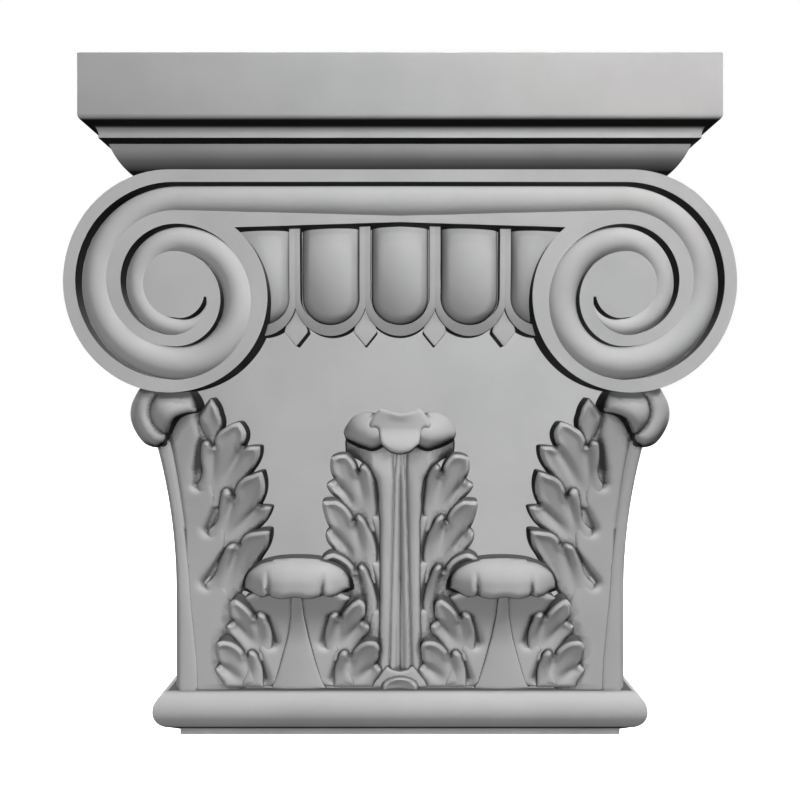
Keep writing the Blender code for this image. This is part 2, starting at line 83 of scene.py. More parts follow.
Point = tuple[float, float]
Place = tuple[float, float, float]
Template = Sequence[tuple[float, ...]]
Field = Callable[[np.ndarray, np.ndarray], np.ndarray]
Rows = tuple[float, ...]
Values = dict[str | int, object]

TINY = 1e-9
ROUND_RIM: Rows = (0.03, 0.1, 0.2, 0.34, 0.5, 0.7, 1.0)


class Side(Enum):
    """Which half of the capital a form belongs to."""

    LEFT = -1
    RIGHT = 1

    @property
    def word(self) -> str:
        """The side's name in a piece's name."""
        return self.name.lower()


class Face(Enum):
    """Which face of the bell a half leaf stands on."""

    FRONT = "front"
    FLANK = "flank"


@dataclass(frozen=True)
class Block:
    """Planes and sizes that all the forms share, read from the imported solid.

    Attributes:
        face_y: The plane of the volute faces, in metres.
        wall_depth: How deep the flat back lies.
        top: Height of the top.
        half_width: Half the bell's width.
        bell_depth: How deep the bell's front lies behind the volute faces.
        bed_depth: How deep the forms on the bell are let into it.
    """

    face_y: float
    wall_depth: float
    top: float
    half_width: float = 100.0
    bell_depth: float = 34.0
    bed_depth: float = 36.6

    @classmethod
    def from_box(cls, low: Vector, high: Vector, projection: float = 8.0) -> "Block":
        """Work out the planes from the solid's box.

        Args:
            low: The box's lowest corner.
            high: The box's highest corner.
            projection: How far the abacus stands in front of the volute faces, in millimetres.

        Returns:
            The block's planes.
        """
        face_y = low.y + projection * MM
        return cls(face_y=face_y, wall_depth=(high.y - face_y) / MM, top=high.z / MM)

    def place(self, x: float, depth: float, z: float) -> Place:
        """A point in metres from its sizes in millimetres."""
        return (x * MM, self.face_y + depth * MM, z * MM)

    def turn(self, x: float, depth: float) -> Point:
        """The same place on the flank, by a mirror on the plane through the bell's corner."""
        corner = self.half_width + self.bell_depth
        return (corner - depth, corner - x)


def ease(t: np.ndarray | float) -> np.ndarray:
    """A soft step from 0 to 1, level at both ends."""
    t = np.clip(t, 0.0, 1.0)
    return t * t * (3.0 - 2.0 * t)


def bump(distance: np.ndarray, width: float | np.ndarray) -> np.ndarray:
    """A soft bump of height 1, by the distance from its middle."""
    return np.exp(-((distance / width) ** 2))


def along(x: np.ndarray, z: np.ndarray, start: Point, end: Point) -> tuple[np.ndarray, np.ndarray]:
    """How far along a line some points lie, and how far from it.

    Args:
        x: The points' places across.
        z: Their heights.
        start: The line's start.
        end: The line's end.

    Returns:
        The place along the line from 0 to 1, and the distance from the line in millimetres.
    """
    run = np.subtract(end, start)
    t = np.clip(((x - start[0]) * run[0] + (z - start[1]) * run[1]) / (run @ run), 0.0, 1.0)
    away = np.hypot(x - start[0] - run[0] * t, z - start[1] - run[1] * t)
    return t, away


def gouge(x: np.ndarray, z: np.ndarray, start: Point, end: Point, widths: Point, depths: Point) -> np.ndarray:
    """Depth of a soft-sided cut along a line.

    Args:
        x: The points' places across.
        z: Their heights.
        start: Where the cut starts.
        end: Where it ends.
        widths: Its half width at the start and at the end.
        depths: Its depth at the start and at the end.

    Returns:
        The depth at each point, in millimetres.
    """
    t, away = along(x, z, start, end)
    width = widths[0] + (widths[1] - widths[0]) * t
    depth = depths[0] + (depths[1] - depths[0]) * ease(t)
    return depth * bump(away, width)


def mirrored(template: Template) -> Template:
    """A template's right half with its left half added, where points on the centre line stay single."""
    return [*template, *((-x, z) for x, z, *_ in reversed(template) if x)]


def shown(name: str, data: bpy.types.ID) -> bpy.types.Object:
    """Put a new object into the scene.

    Args:
        name: Its name.
        data: What it carries.

    Returns:
        The object.
    """
    thing = bpy.data.objects.new(name, data)
    bpy.context.scene.collection.objects.link(thing)
    return thing


@dataclass
class Nodes:
    """A node tree being built."""

    tree: bpy.types.NodeTree

    def feed(self, node: bpy.types.Node, values: Values) -> None:
        """Fill a node's inputs.

        Args:
            node: The node.
            values: What each input takes, as a socket to link or a value.
        """
        for key, value in values.items():
            if isinstance(value, bpy.types.NodeSocket):
                self.tree.links.new(value, node.inputs[key])
            else:
                node.inputs[key].default_value = value

    def add(self, kind: str, values: Values | None = None, **options: object) -> bpy.types.Node:
        """Add a node.

        Args:
            kind: The node's type.
            values: What each of its inputs takes.
            options: Its properties.

        Returns:
            The node.
        """
        node = self.tree.nodes.new(kind)
        for key, value in options.items():
            setattr(node, key, value)
        self.feed(node, values or {})
        return node


@dataclass
class ShapeTree(Nodes):
    """A Geometry Nodes tree being built.

    Attributes:
        source: The node that its inputs come from.
        identifiers: Each named input's identifier.
    """

    source: bpy.types.Node
    identifiers: dict[str, str] = field(default_factory=dict)

    @classmethod
    def named(cls, name: str) -> "ShapeTree":
        """Start a tree.

        Args:
            name: The tree's name.

        Returns:
            The tree, with a geometry input and output.
        """
        tree = bpy.data.node_groups.new(name, "GeometryNodeTree")
        for way in ("INPUT", "OUTPUT"):
            tree.interface.new_socket("Geometry", in_out=way, socket_type="NodeSocketGeometry")
        return cls(tree, tree.nodes.new("NodeGroupInput"))

    def input(self, name: str, kind: str) -> bpy.types.NodeSocket:
        """Add a named input to the tree.

        Args:
            name: The input's name.
            kind: What it takes, as the end of its socket type's name.

        Returns:
            The socket inside the tree.
        """
        socket = self.tree.interface.new_socket(name, in_out="INPUT", socket_type="NodeSocket" + kind)
        self.identifiers[name] = socket.identifier
        return self.source.outputs[name]

    def math(self, operation: str, first: object, second: object) -> bpy.types.NodeSocket:
        """Add a sum of two values.

        Args:
            operation: The kind of sum.
            first: The first value, or a socket that gives it.
            second: The second one.

        Returns:
            The socket that gives the result.
        """
        return self.add("ShaderNodeMath", {0: first, 1: second}, operation=operation).outputs[0]

    def finish(self, geometry: bpy.types.NodeSocket, material: bpy.types.Material) -> None:
        """End the tree with real geometry in its material.

        Args:
            geometry: The last geometry.
            material: The material.
        """
        real = self.add("GeometryNodeRealizeInstances", {"Geometry": geometry})
        dressed = self.add("GeometryNodeSetMaterial", {"Geometry": real.outputs[0], "Material": material})
        self.add("NodeGroupOutput", {0: dressed.outputs[0]})

    def mesh(self, start: bpy.types.Mesh, values: dict[str, object]) -> bpy.types.Mesh:
        """Run the tree on a mesh.

        Args:
            start: The mesh that goes in.
            values: Each named input's value. The objects among them are removed afterwards.

        Returns:
            The plain mesh that comes out.
        """
        holder = shown(self.tree.name, start)
        modifier = holder.modifiers.new(self.tree.name, "NODES")
        modifier.node_group = self.tree
        for name, value in values.items():
            modifier[self.identifiers[name]] = value
        graph = bpy.context.evaluated_depsgraph_get()
        made = bpy.data.meshes.new_from_object(holder.evaluated_get(graph), depsgraph=graph)
        holder.modifiers.remove(modifier)
        for thing in (holder, *values.values()):
            if isinstance(thing, bpy.types.Object):
                bpy.data.objects.remove(thing, do_unlink=True)
        return made


@dataclass(frozen=True)
class Outline:
    """A closed outline on the front, anticlockwise, in millimetres."""

    points: np.ndarray

    @classmethod
    def drawn(cls, template: Template, spacing: float = 0.6, rounding: int = 2) -> "Outline":
        """Draw an outline from a template.

        Args:
            template: Corners as across and up, and where it isn't straight, the swell of the stretch to the
                next one as a part of its length.
            spacing: Distance between the outline's points.
            rounding: How many times the corners are rubbed round.

        Returns:
            The outline.
        """
        corners = np.array([corner[:2] for corner in template], float)
        following = np.roll(corners, -1, axis=0)
        area = np.sum(corners[:, 0] * following[:, 1] - following[:, 0] * corners[:, 1])
        outward = 1.0 if area > 0 else -1.0
        points = []
        for start, end, corner in zip(corners, following, template):
            run = end - start
            swell = corner[2] if len(corner) > 2 else 0.0
            bow = np.array((run[1], -run[0])) * swell * outward
            for t in np.arange(0.0, 1.0, 0.02):
                points.append(start + run * t + bow * 4.0 * t * (1.0 - t))
        dense = np.array(points)
        if outward < 0:
            dense = dense[::-1]
        return cls(cls._rubbed(cls._even(dense, spacing), rounding))

    @staticmethod
    def _even(points: np.ndarray, spacing: float) -> np.ndarray:
        """The same closed line with points at an even distance.

        Args:
            points: The line's points.
            spacing: The distance.

        Returns:
            The new points.
        """
        closed = np.vstack([points, points[:1]])
        lengths = np.concatenate([[0.0], np.cumsum(np.hypot(*np.diff(closed, axis=0).T))])
        count = max(8, int(round(lengths[-1] / spacing)))
        places = np.linspace(0.0, lengths[-1], count, endpoint=False)
        return np.column_stack([np.interp(places, lengths, closed[:, k]) for k in (0, 1)])

    @staticmethod
    def _rubbed(points: np.ndarray, times: int) -> np.ndarray:
        """The same line with its corners rounded off.

        Args:
            points: The line's points.
            times: How many times they are rubbed.

        Returns:
            The new points.
        """
        for _ in range(times):
            points = 0.5 * points + 0.25 * (np.roll(points, 1, axis=0) + np.roll(points, -1, axis=0))
        return points

    def inward(self) -> np.ndarray:
        """Find the way into the outline.

        Returns:
            The unit direction inwards at each of its points.
        """
        run = np.roll(self.points, -1, axis=0) - np.roll(self.points, 1, axis=0)
        run /= np.hypot(run[:, 0], run[:, 1])[:, None]
        return np.column_stack([-run[:, 1], run[:, 0]])

    def inset(self, at: np.ndarray) -> np.ndarray:
        """How far inside the outline some points lie.

        Args:
            at: The points.

        Returns:
            The distance from the outline, which is less than 0 outside it.
        """
        tiny = 1e-12
        start = self.points[None]
        end = np.roll(self.points, -1, axis=0)[None]
        run = end - start
        to_point = at[:, None] - start
        t = np.clip((to_point * run).sum(2) / np.maximum((run * run).sum(2), tiny), 0.0, 1.0)
        near = to_point - run * t[..., None]
        distance = np.sqrt((near * near).sum(2).min(1))
        above = start[..., 1] > at[:, None, 1]
        crossing = above != (end[..., 1] > at[:, None, 1])
        rise = np.where(np.abs(run[..., 1]) < tiny, tiny, run[..., 1])
        meets = start[..., 0] + (at[:, None, 1] - start[..., 1]) * run[..., 0] / rise
        inside = (crossing & (at[:, None, 0] < meets)).sum(1) % 2 == 1
        return np.where(inside, distance, -distance)


@dataclass
class Form:
    """Closed shells that together make one carved form, kept as points in millimetres and faces."""

    block: Block
    points: list[Place] = field(default_factory=list)
    faces: list[tuple[int, ...]] = field(default_factory=list)

    def add(self, points: Sequence[Sequence[float]], faces: Sequence[Sequence[int]]) -> None:
        """Add one closed shell.

        Args:
            points: Its points as across, depth and up.
            faces: Its faces as places in that list.
        """
        first = len(self.points)
        self.points += [tuple(float(value) for value in point) for point in points]
        self.faces += [tuple(first + index for index in face) for face in faces]

    def moved(self, side: Side, place: float = 0.0, face: Face = Face.FRONT, sink: float = 0.0) -> "Form":
        """A copy for one side of the capital.

        Args:
            side: Left or right, which mirrors the form.
            place: How far from the centre line the form's own middle stands.
            face: The front or the flank of the bell.
            sink: How much deeper the copy lies.

        Returns:
            The copy.
        """
        points = []
        for x, depth, z in self.points:
            depth += sink
            if face is Face.FLANK:
                x, depth = self.block.turn(x, depth)
            points.append((side.value * (place + x), depth, z))
        return Form(self.block, points, list(self.faces))

    def join(self, *others: "Form") -> "Form":
        """Take in the shells of other forms.

        Args:
            others: The other forms.

        Returns:
            This form.
        """
        for other in others:
            self.add(other.points, other.faces)
        return self

    def both(self) -> "Form":
        """This form and its mirror image, with the left one first."""
        return Form(self.block).join(*(self.moved(side) for side in Side))

    def rings(self, rings: Sequence[Sequence[Sequence[float]]]) -> "Form":
        """Add a skin over a row of rings, with both ends closed.

        Args:
            rings: The rings, with equal counts of points as across, depth and up.

        Returns:
            This form.
        """
        count = len(rings[0])
        points = [point for ring in rings for point in ring]
        faces: list[tuple[int, ...]] = []
        for row in range(len(rings) - 1):
            low, high = row * count, (row + 1) * count
            for i in range(count):
                j = (i + 1) % count
                faces.append((low + i, low + j, high + j, high + i))
        faces.append(tuple(range(count)))
        faces.append(tuple(reversed(range(len(points) - count, len(points)))))
        self.add(points, faces)
        return self


@dataclass
class Relief:
    """A form in relief: a modelled front inside an outline, with a rounded rim and walls that run back.

    Attributes:
        outline: The front's outline.
        front: Depth of the front at a place across and up, leaving out the rim.
        back: Depth of the back.
        rim: Radius of the rounded rim.
        grain: Distance between points inside the rim.
        flare: The outline that the walls run back to, point for point, where it isn't the same one.
        steps: Where the rim's rows of points lie, as shares of its radius.
        rim_slack: How much of its distance a rim point may lose in a tight turn before it is left out.
        grain_gap: Distance kept between the rim and the points inside it, as a share of the grain.
    """

    outline: Outline
    front: Field
    back: float
    rim: float = 1.2
    grain: float = 1.0
    flare: Callable[[np.ndarray], np.ndarray] | None = None
    steps: Rows = (0.08, 0.3, 0.6, 1.0)
    rim_slack: float = 0.94
    grain_gap: float = 0.55

    def _inner_points(self) -> np.ndarray:
        """Points on the rim's steps and on an even grid inside it.

        Returns:
            The points.
        """
        edge = self.outline.points
        inward = self.outline.inward()
        found = []
        for step in self.steps:
            ring = edge + inward * step * self.rim
            found.append(ring[self.outline.inset(ring) > self.rim_slack * step * self.rim])
        low = edge.min(0) - self.grain
        high = edge.max(0) + self.grain
        row_height = self.grain * math.sqrt(3.0) / 2.0
        grid = []
        for row, z in enumerate(np.arange(low[1], high[1], row_height)):
            shift = self.grain / 2.0 if row % 2 else 0.0
            grid += [(x, z) for x in np.arange(low[0] + shift, high[0], self.grain)]
        grid = np.array(grid)
        found.append(grid[self.outline.inset(grid) > self.rim + self.grain_gap * self.grain])
        return np.vstack(found)

    def _rim_drop(self, inset: np.ndarray) -> np.ndarray:
        """How far the rounded rim falls back at a distance from the outline."""
        reach = np.clip(self.rim - inset, 0.0, self.rim)
        return self.rim - np.sqrt(self.rim**2 - reach**2)

    def build(self, form: Form) -> Form:
        """Add the relief to a form as one closed shell.

        Args:
            form: The form that takes it in.

        Returns:
            The same form.
        """
        edge = self.outline.points
        count = len(edge)
        flat = [Vector(point) for point in np.vstack([edge, self._inner_points()])]
        loop = [(i, (i + 1) % count) for i in range(count)]
        made = delaunay_2d_cdt(flat, loop, [], 1, 1e-6)
        places = np.array([tuple(point) for point in made[0]])
        origin = {source: new for new, sources in enumerate(made[3]) for source in sources}
        rim = [origin[i] for i in range(count)]
        inset = np.maximum(self.outline.inset(places), 0.0)
        inset[rim] = 0.0
        depth = self.front(places[:, 0], places[:, 1]) + self._rim_drop(inset)
        points = [(x, d, z) for (x, z), d in zip(places, depth)]
        faces = [tuple(face) for face in made[2]]
        rear = self.flare(edge) if self.flare else edge
        first = len(points)
        points += [(x, self.back, z) for x, z in rear]
        for i, j in loop:
            faces.append((rim[j], rim[i], first + i, first + j))
        plate = delaunay_2d_cdt([Vector(point) for point in rear], loop, [], 1, 1e-6)
        sources = [source[0] for source in plate[3]]
        faces += [tuple(first + sources[k] for k in reversed(face)) for face in plate[2]]
        form.add(points, faces)
        return form


@dataclass(frozen=True)
class StoneFinish:
    """Fine-grained pale grey stone, rubbed smooth, darkened by painted shade on its walls, undersides and
    hollows.

    Attributes:
        name: The material's name.
        colour: Its middle colour, as linear values.
        variation: How far the colour wanders to each side.
        cloud_scale: Scale of the wide clouding, per metre.
        cloud_range: The stretch of the clouding that the colour follows.
        grain_scale: Scale of the grain, per metre.
        grain_height: Height of the grain's bump, in metres.
        grain_strength: How strongly the bump shows.
        roughness: Its roughness.
        gloss: How strongly it reflects.
        dust_shade: The painted shade's darkest colour, as a share of the middle colour.
    """

    name: str = "carved_stone"
    colour: tuple[float, float, float] = (0.45, 0.45, 0.45)
    variation: float = 0.06
    cloud_scale: float = 28.0
    cloud_range: Point = (0.3, 0.7)
    grain_scale: float = 900.0
    grain_height: float = 0.00004
    grain_strength: float = 0.6
    roughness: float = 0.85
    gloss: float = 0.12
    dust_shade: float = 0.035

    def shade(self, factor: float) -> tuple[float, float, float, float]:
        """The colour made lighter or darker by a factor."""
        return tuple(channel * factor for channel in self.colour) + (1.0,)

    def material(self) -> bpy.types.Material:
        """Build the material's nodes.

        Returns:
            The material.
        """
        material = bpy.data.materials.new(self.name)
        material.use_nodes = True
        nodes = Nodes(material.node_tree)
        place = nodes.add("ShaderNodeTexCoord").outputs["Object"]
        noise = "ShaderNodeTexNoise"
        clouds = nodes.add(noise, {"Vector": place, "Scale": self.cloud_scale, "Detail": 5.0})
        tint = nodes.add("ShaderNodeValToRGB", {"Fac": clouds.outputs["Fac"]})
        for element, position, sign in zip(tint.color_ramp.elements, self.cloud_range, (-1.0, 1.0)):
            element.position = position
            element.color = self.shade(1.0 + sign * self.variation)
        # Painted shade: the stored value mixes the colour toward a near-black tone where shade falls.
        dust = nodes.add("ShaderNodeAttribute", attribute_name=PAINTED_SHADE)
        shaded_colour = nodes.add("ShaderNodeMix", {
            "Factor": dust.outputs["Fac"], "A": tint.outputs["Color"], "B": self.shade(self.dust_shade),
        }, data_type="RGBA")
        grain = nodes.add(noise, {"Vector": place, "Scale": self.grain_scale, "Detail": 3.0})
        rough = nodes.add("ShaderNodeBump", {
            "Strength": self.grain_strength, "Distance": self.grain_height, "Height": grain.outputs["Fac"],
        })
        nodes.feed(nodes.tree.nodes["Principled BSDF"], {
            "Base Color": shaded_colour.outputs["Result"], "Normal": rough.outputs["Normal"],
            "Roughness": self.roughness, "Metallic": 0.0, "Specular IOR Level": self.gloss,
        })
        return material


@dataclass(frozen=True)
class Grime:
    """How painted shade is laid on a piece.

    Attributes:
        hollow: How much painted shade its hollows take beside its walls', or less than 0 for no painted shade
            anywhere.
        steep: How squarely a surface faces out where it starts to take painted shade, and where it takes most.
        film: How much darker all of it is made, evenly, on top of the painted shade.
    """

    hollow: float = 0.0
    steep: Point = (0.6, 0.28)
    film: float = 0.0


def read(items: bpy.types.bpy_prop_collection, name: str, width: int, kind: type) -> np.ndarray:
    """Read a property of every item in a collection.

    Args:
        items: The collection.
        name: The property.
        width: How many numbers each item gives.
        kind: What kind of number they are.

    Returns:
        The numbers, with a row for each item where it gives more than one.
    """
    values = np.empty(len(items) * width, kind)
    items.foreach_get(name, values)
    return values.reshape(-1, width) if width > 1 else values


@dataclass
class Workshop:
    """Turns forms into finished pieces.

    A surface looks round itself along a spread of directions. What it meets hems it in. Painted shade darkens
    walls that are hemmed in, surfaces that face down, and hollows, where shade falls.

    Attributes:
        block: The capital's shared planes.
        stone: The pieces' material.
        sharp: Least angle between two faces that stays a sharp edge, in degrees.
        dust_reach: How far a surface looks round.
        dust_gap: How far off the surface the looks start.
        dust_fade: How soon a look counts in full as what it meets comes nearer.
        dust_hem: Share of looks met where a wall starts to take painted shade, and where it takes most.
        dust_under: How squarely a surface faces down where it starts to take painted shade, and where it takes
            most.
        dust_rings: The looks' tilts from the normal in degrees, and how many go round at each tilt.
        rain_wash: How much less painted shade a surface takes that faces up, so that tops stay lighter.
        flank_from: How far from the centre line the flanks lie.
        hollow_range: Nearness where a hollow starts to take painted shade, and where it takes most.
        even_from: How steep all of a face has to be to take its fullest painted shade evenly.
        normal_steps: How finely the corners' normals are told apart.
        pieces: The pieces made so far, each with how painted shade is laid on it.
    """

    block: Block
    stone: bpy.types.Material
    sharp: float = 38.0
    dust_reach: float = 20.0
    dust_gap: float = 0.15
    dust_fade: float = 2.5
    dust_hem: Point = (0.02, 0.12)
    dust_under: Point = (0.5, 0.75)
    dust_rings: tuple[tuple[float, int], ...] = ((0.0, 1), (32.0, 5), (60.0, 8))
    rain_wash: float = 0.25
    flank_from: float = 97.0
    hollow_range: Point = (0.12, 0.5)
    even_from: float = 0.9
    normal_steps: float = 8.0
    pieces: dict[bpy.types.Object, Grime] = field(default_factory=dict)

    def mesh(self, name: str, form: Form) -> bpy.types.Mesh:
        """Make a mesh of a form, with its faces pointing outwards.

        Args:
            name: The mesh's name.
            form: Its closed shells.

        Returns:
            The mesh, in metres.
        """
        bm = bmesh.new()
        verts = [bm.verts.new(self.block.place(*point)) for point in form.points]
        for face in form.faces:
            if len(set(face)) > 2:
                bm.faces.new([verts[index] for index in face])
        bmesh.ops.recalc_face_normals(bm, faces=bm.faces)
        bmesh.ops.triangulate(bm, faces=[face for face in bm.faces if len(face.verts) > 4])
        mesh = bpy.data.meshes.new(name)
        bm.to_mesh(mesh)
        bm.free()
        return mesh

    def piece(self, name: str, form: Form, shading: Grime = Grime()) -> bpy.types.Object:
        """Make a piece of a form and dress it, as in dress."""
        return self.dress(name, self.mesh(name, form), shading)

    def dress(self, name: str, mesh: bpy.types.Mesh, shading: Grime = Grime()) -> bpy.types.Object:
        """Give a mesh its stone and its place in the capital.

        Args:
            name: The piece's name.
            mesh: Its mesh, in metres.
            shading: How painted shade is laid on it.

        Returns:
            The piece.
        """
        mesh.shade_smooth()
        mesh.set_sharp_from_angle(angle=math.radians(self.sharp))
        mesh.materials.clear()
        mesh.materials.append(self.stone)
        piece = shown(name, mesh)
        piece.visible_diffuse = False
        self.pieces[piece] = shading
        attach(piece, BODY)
        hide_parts(NODE)
        LOG.info("%s: %d triangles", name, sum(len(face.vertices) - 2 for face in mesh.polygons))
        return piece

    def _looks(self) -> list[tuple[float, float, float, float]]:
        """Work out the directions that a surface looks in.

        Returns:
            Each direction round the normal as z, with the share that it counts for.
        """
        looks = []
        for tilt, count in self.dust_rings:
            lean = math.radians(tilt)
            across, out = math.sin(lean), math.cos(lean)
            for step in range(count):
                turn = 2.0 * math.pi * (step + 0.5 * (count % 2)) / count
                looks.append((across * math.cos(turn), across * math.sin(turn), out, out))
        total = sum(look[3] for look in looks)
        return [(x, y, z, share / total) for x, y, z, share in looks]

    def _surroundings(self) -> BVHTree:
        """Put all the pieces' faces together, to look at.

        Returns:
            The tree of faces, in metres.
        """
        form = Form(self.block)
        for piece in self.pieces:
            form.add([vertex.co for vertex in piece.data.vertices],
                     [face.vertices for face in piece.data.polygons])
        return BVHTree.FromPolygons(form.points, form.faces)

    def _look_round(self, around: BVHTree, origin: np.ndarray, normal: np.ndarray) -> np.ndarray:
        """Look round from some places.

        Args:
            around: What there is to see.
            origin: The places, in metres.
            normal: The surface's normal at each.

        Returns:
            For each place, how much it is hemmed in, and how near that is on the whole.
        """
        reach = self.dust_reach * MM
        steep = np.abs(normal[:, 2:]) < 0.9
        side = np.cross(np.where(steep, [[0.0, 0.0, 1.0]], [[1.0, 0.0, 0.0]]), normal)
        side /= np.maximum(np.linalg.norm(side, axis=1), TINY)[:, None]
        up = np.cross(normal, side)
        found = np.zeros((2, len(origin)))
        starts = origin.tolist()
        for x, y, z, share in self._looks():
            directions = (side * x + up * y + normal * z).tolist()
            for index, (start, direction) in enumerate(zip(starts, directions)):
                distance = around.ray_cast(start, direction, reach)[3]
                if distance is not None:
                    nearness = 1.0 - distance / reach
                    found[0, index] += share * min(1.0, self.dust_fade * nearness)
                    found[1, index] += share * nearness
        return found

    def _settled(self, mesh: bpy.types.Mesh, shading: Grime, around: BVHTree) -> np.ndarray:
        """Work out where painted shade darkens a mesh.

        Args:
            mesh: The mesh.
            shading: How painted shade is laid on it.
            around: Everything round it.

        Returns:
            The painted shade at each corner of each face, from 0 to 1.
        """
        normals = read(mesh.corner_normals, "vector", 3, np.float32)
        at = read(mesh.loops, "vertex_index", 1, np.int32)
        places = read(mesh.vertices, "co", 3, np.float32)
        keys = np.column_stack([at, np.round(normals * self.normal_steps).astype(np.int32)])
        _, chosen, group = np.unique(keys, axis=0, return_index=True, return_inverse=True)
        group = group.reshape(-1)
        normal = normals[chosen].astype(float)
        origin = places[at[chosen]] + normal * self.dust_gap * MM
        hemmed, near = self._look_round(around, origin, normal)
        across = places[at[chosen], 0] / MM
        outward = np.where(np.abs(across) > self.flank_from, normal[:, 0] * np.sign(across), 0.0)
        steep = np.interp(np.maximum(np.abs(normal[:, 1]), outward), shading.steep[::-1], (1.0, 0.0))
        # Painted shade: less on surfaces that face up, so tops stay lighter, and more on surfaces that face
        # down, where shade falls under them.
        up_facing_factor = 1.0 - self.rain_wash * np.clip(normal[:, 2], 0.0, 1.0)
        under = np.interp(-normal[:, 2], self.dust_under, (0.0, 1.0))
        walls = steep * up_facing_factor * np.maximum(np.interp(hemmed, self.dust_hem, (0.0, 1.0)), under)
        hollows = np.minimum(shading.hollow * np.interp(near, self.hollow_range, (0.0, 1.0)), 1.0)
        starts = read(mesh.polygons, "loop_start", 1, np.int32)
        sizes = np.diff(np.append(starts, len(at)))
        whole = np.repeat(np.maximum.reduceat(walls[group], starts), sizes)
        steepest = np.repeat(np.minimum.reduceat(steep[group], starts), sizes)
        shade_values = np.where(steepest > self.even_from, whole, walls[group])
        return np.clip(np.maximum(shade_values, hollows[group]) + shading.film, 0.0, 1.0)

    def settle_dust(self) -> None:
        """Store how much painted shade lies at each corner of every face, which darkens the stone's colour."""
        around = self._surroundings()
        for piece, shading in self.pieces.items():
            if shading.hollow >= 0.0:
                shade_values = self._settled(piece.data, shading, around)
                dust = piece.data.attributes.new(PAINTED_SHADE, "FLOAT", "CORNER")
                dust.data.foreach_set("value", shade_values.astype(np.float32))


@dataclass
class Stack:
    """The block's level courses: necking and ring, the bell, and the abacus with its mouldings.

    Each course is a row of levels (half width, depth of the front, height) with a mitred front and flanks.
    The abacus is drawn by insets from the slab's face. Angles are in degrees.
    """

    block: Block
    neck_half_width: float = 102.2
    neck_depth: float = 31.0
    neck_top: float = 2.6
    ring_height: float = 12.2
    ring_radius: float = 8.6
    ring_half_height: float = 9.0
    ring_arc: Point = (-75.0, 80.0)
    ring_half_width: float = 113.8
    ring_depth: float = 24.0
    ring_cover: float = 4.0
    bell_foot: float = 15.0
    bell_head: float = 250.0
    bell_corner: float = 0.8
    slab_half_width: float = 139.1
    slab_foot: float = 279.0
    slab_corner: float = 0.5
    corner_cut: float = 0.3
    projection: float = 8.0
    arris: float = 0.6
    cove_inset: float = 7.2
    cove_foot: float = 271.5
    cove_drop: float = 3.0
    soffit: float = 3.2
    fillet_foot: float = 270.3
    fillet_edge: float = 0.3
    ovolo_top: float = 268.4
    ovolo_inset: float = 10.8
    ovolo_radius: float = 17.6
    ovolo_height: float = 15.4
    ovolo_turn: float = 60.0
    core_insets: Point = (4.0, 0.2)
    core_drop: float = 55.0
    joint: float = 0.15

    def _course(self, levels: Sequence[Place], corner: float = 0.0, rear: float = 0.0) -> Form:
        """Skin a course.

        Args:
            levels: Its levels from below.
            corner: How much its front corners are rubbed round.
            rear: How far its back stays in front of the wall.

        Returns:
            The course as one closed shell.
        """
        wall = self.block.wall_depth - rear
        cut = corner * self.corner_cut
        rings = []
        for half, depth, height in levels:
            right = [(half, depth)]
            if corner:
                right = [(half - corner, depth), (half - cut, depth + cut), (half, depth + corner)]
            right.append((half, wall))
            plan = [(-x, d) for x, d in reversed(right[:-1])] + right + [(-half, wall)]
            rings.append([(x, d, height) for x, d in plan])
        return Form(self.block).rings(rings)

    def foot(self) -> Form:
        """The necking and the ring that the leaves stand on.

        Returns:
            The course as one closed shell.
        """
        neck = (self.neck_half_width, self.neck_depth)
        levels = [(*neck, 0.0), (*neck, self.neck_top)]
        for angle in np.radians(np.linspace(*self.ring_arc, 34)):
            reach = self.ring_radius * (math.cos(angle) - 1.0)
            height = self.ring_height + self.ring_half_height * math.sin(angle)
            levels.append((self.ring_half_width + reach, self.ring_depth - reach, height))
        cover = self.ring_cover
        levels.append((self.block.half_width - cover, self.block.bell_depth + cover, levels[-1][2]))
        return self._course(levels, rear=self.joint)

    def bell(self) -> Form:
        """The plain bell behind the leaves."""
        size = (self.block.half_width, self.block.bell_depth)
        return self._course([(*size, self.bell_foot), (*size, self.bell_head)], corner=self.bell_corner)

    def abacus(self) -> Form:
        """The slab with the sloping bed, the fillet and the quarter round below it.

        Returns:
            The course as one closed shell.
        """
        last = math.radians(self.ovolo_turn)
        insets = []
        for angle in np.linspace(0.0, last, 25):
            inset = self.ovolo_inset + self.ovolo_radius * (1.0 - math.sin(angle) / math.sin(last))
            drop = (math.cos(angle) - math.cos(last)) / (1.0 - math.cos(last))
            insets.append((inset, self.ovolo_top - self.ovolo_height * drop))
        insets.append((self.cove_inset + self.fillet_edge, self.fillet_foot - self.fillet_edge))
        insets.append((self.cove_inset, self.fillet_foot))
        rise = self.slab_foot - self.cove_drop - self.cove_foot
        for angle in self._quarter(15):
            share = 1.0 - math.cos(angle)
            inset = self.cove_inset * (1.0 - share) + self.soffit * share
            insets.append((inset, self.cove_foot + rise * math.sin(angle)))
        for angle in self._quarter(8):
            height = self.slab_foot - self.cove_drop * math.cos(angle)
            insets.append((self.cove_drop * (1.0 - math.sin(angle)), height))
        for angle in self._quarter(5):
            height = self.block.top - self.arris * (1.0 - math.sin(angle))
            insets.append((self.arris * (1.0 - math.cos(angle)), height))
        outer, edge = self.core_insets
        inner = insets[0][0] + edge
        low = self.block.top - self.core_drop
        insets[:0] = [(inner + outer, low), (inner, low)]
        levels = [(self.slab_half_width - inset, inset - self.projection, height) for inset, height in insets]
        return self._course(levels, corner=self.slab_corner)

    @staticmethod
    def _quarter(count: int) -> np.ndarray:
        """The angles of a quarter turn, in radians."""
        return np.radians(np.linspace(0.0, 90.0, count))

    def build(self, shop: Workshop) -> None:
        """Make and dress the three courses.

        Args:
            shop: The workshop that makes them.
        """
        shop.piece("foot_ring", self.foot(), Grime(film=0.08))
        shop.piece("bell", self.bell(), Grime(hollow=-1.0))
        shop.piece("abacus", self.abacus(), Grime(steep=(0.95, 0.6)))


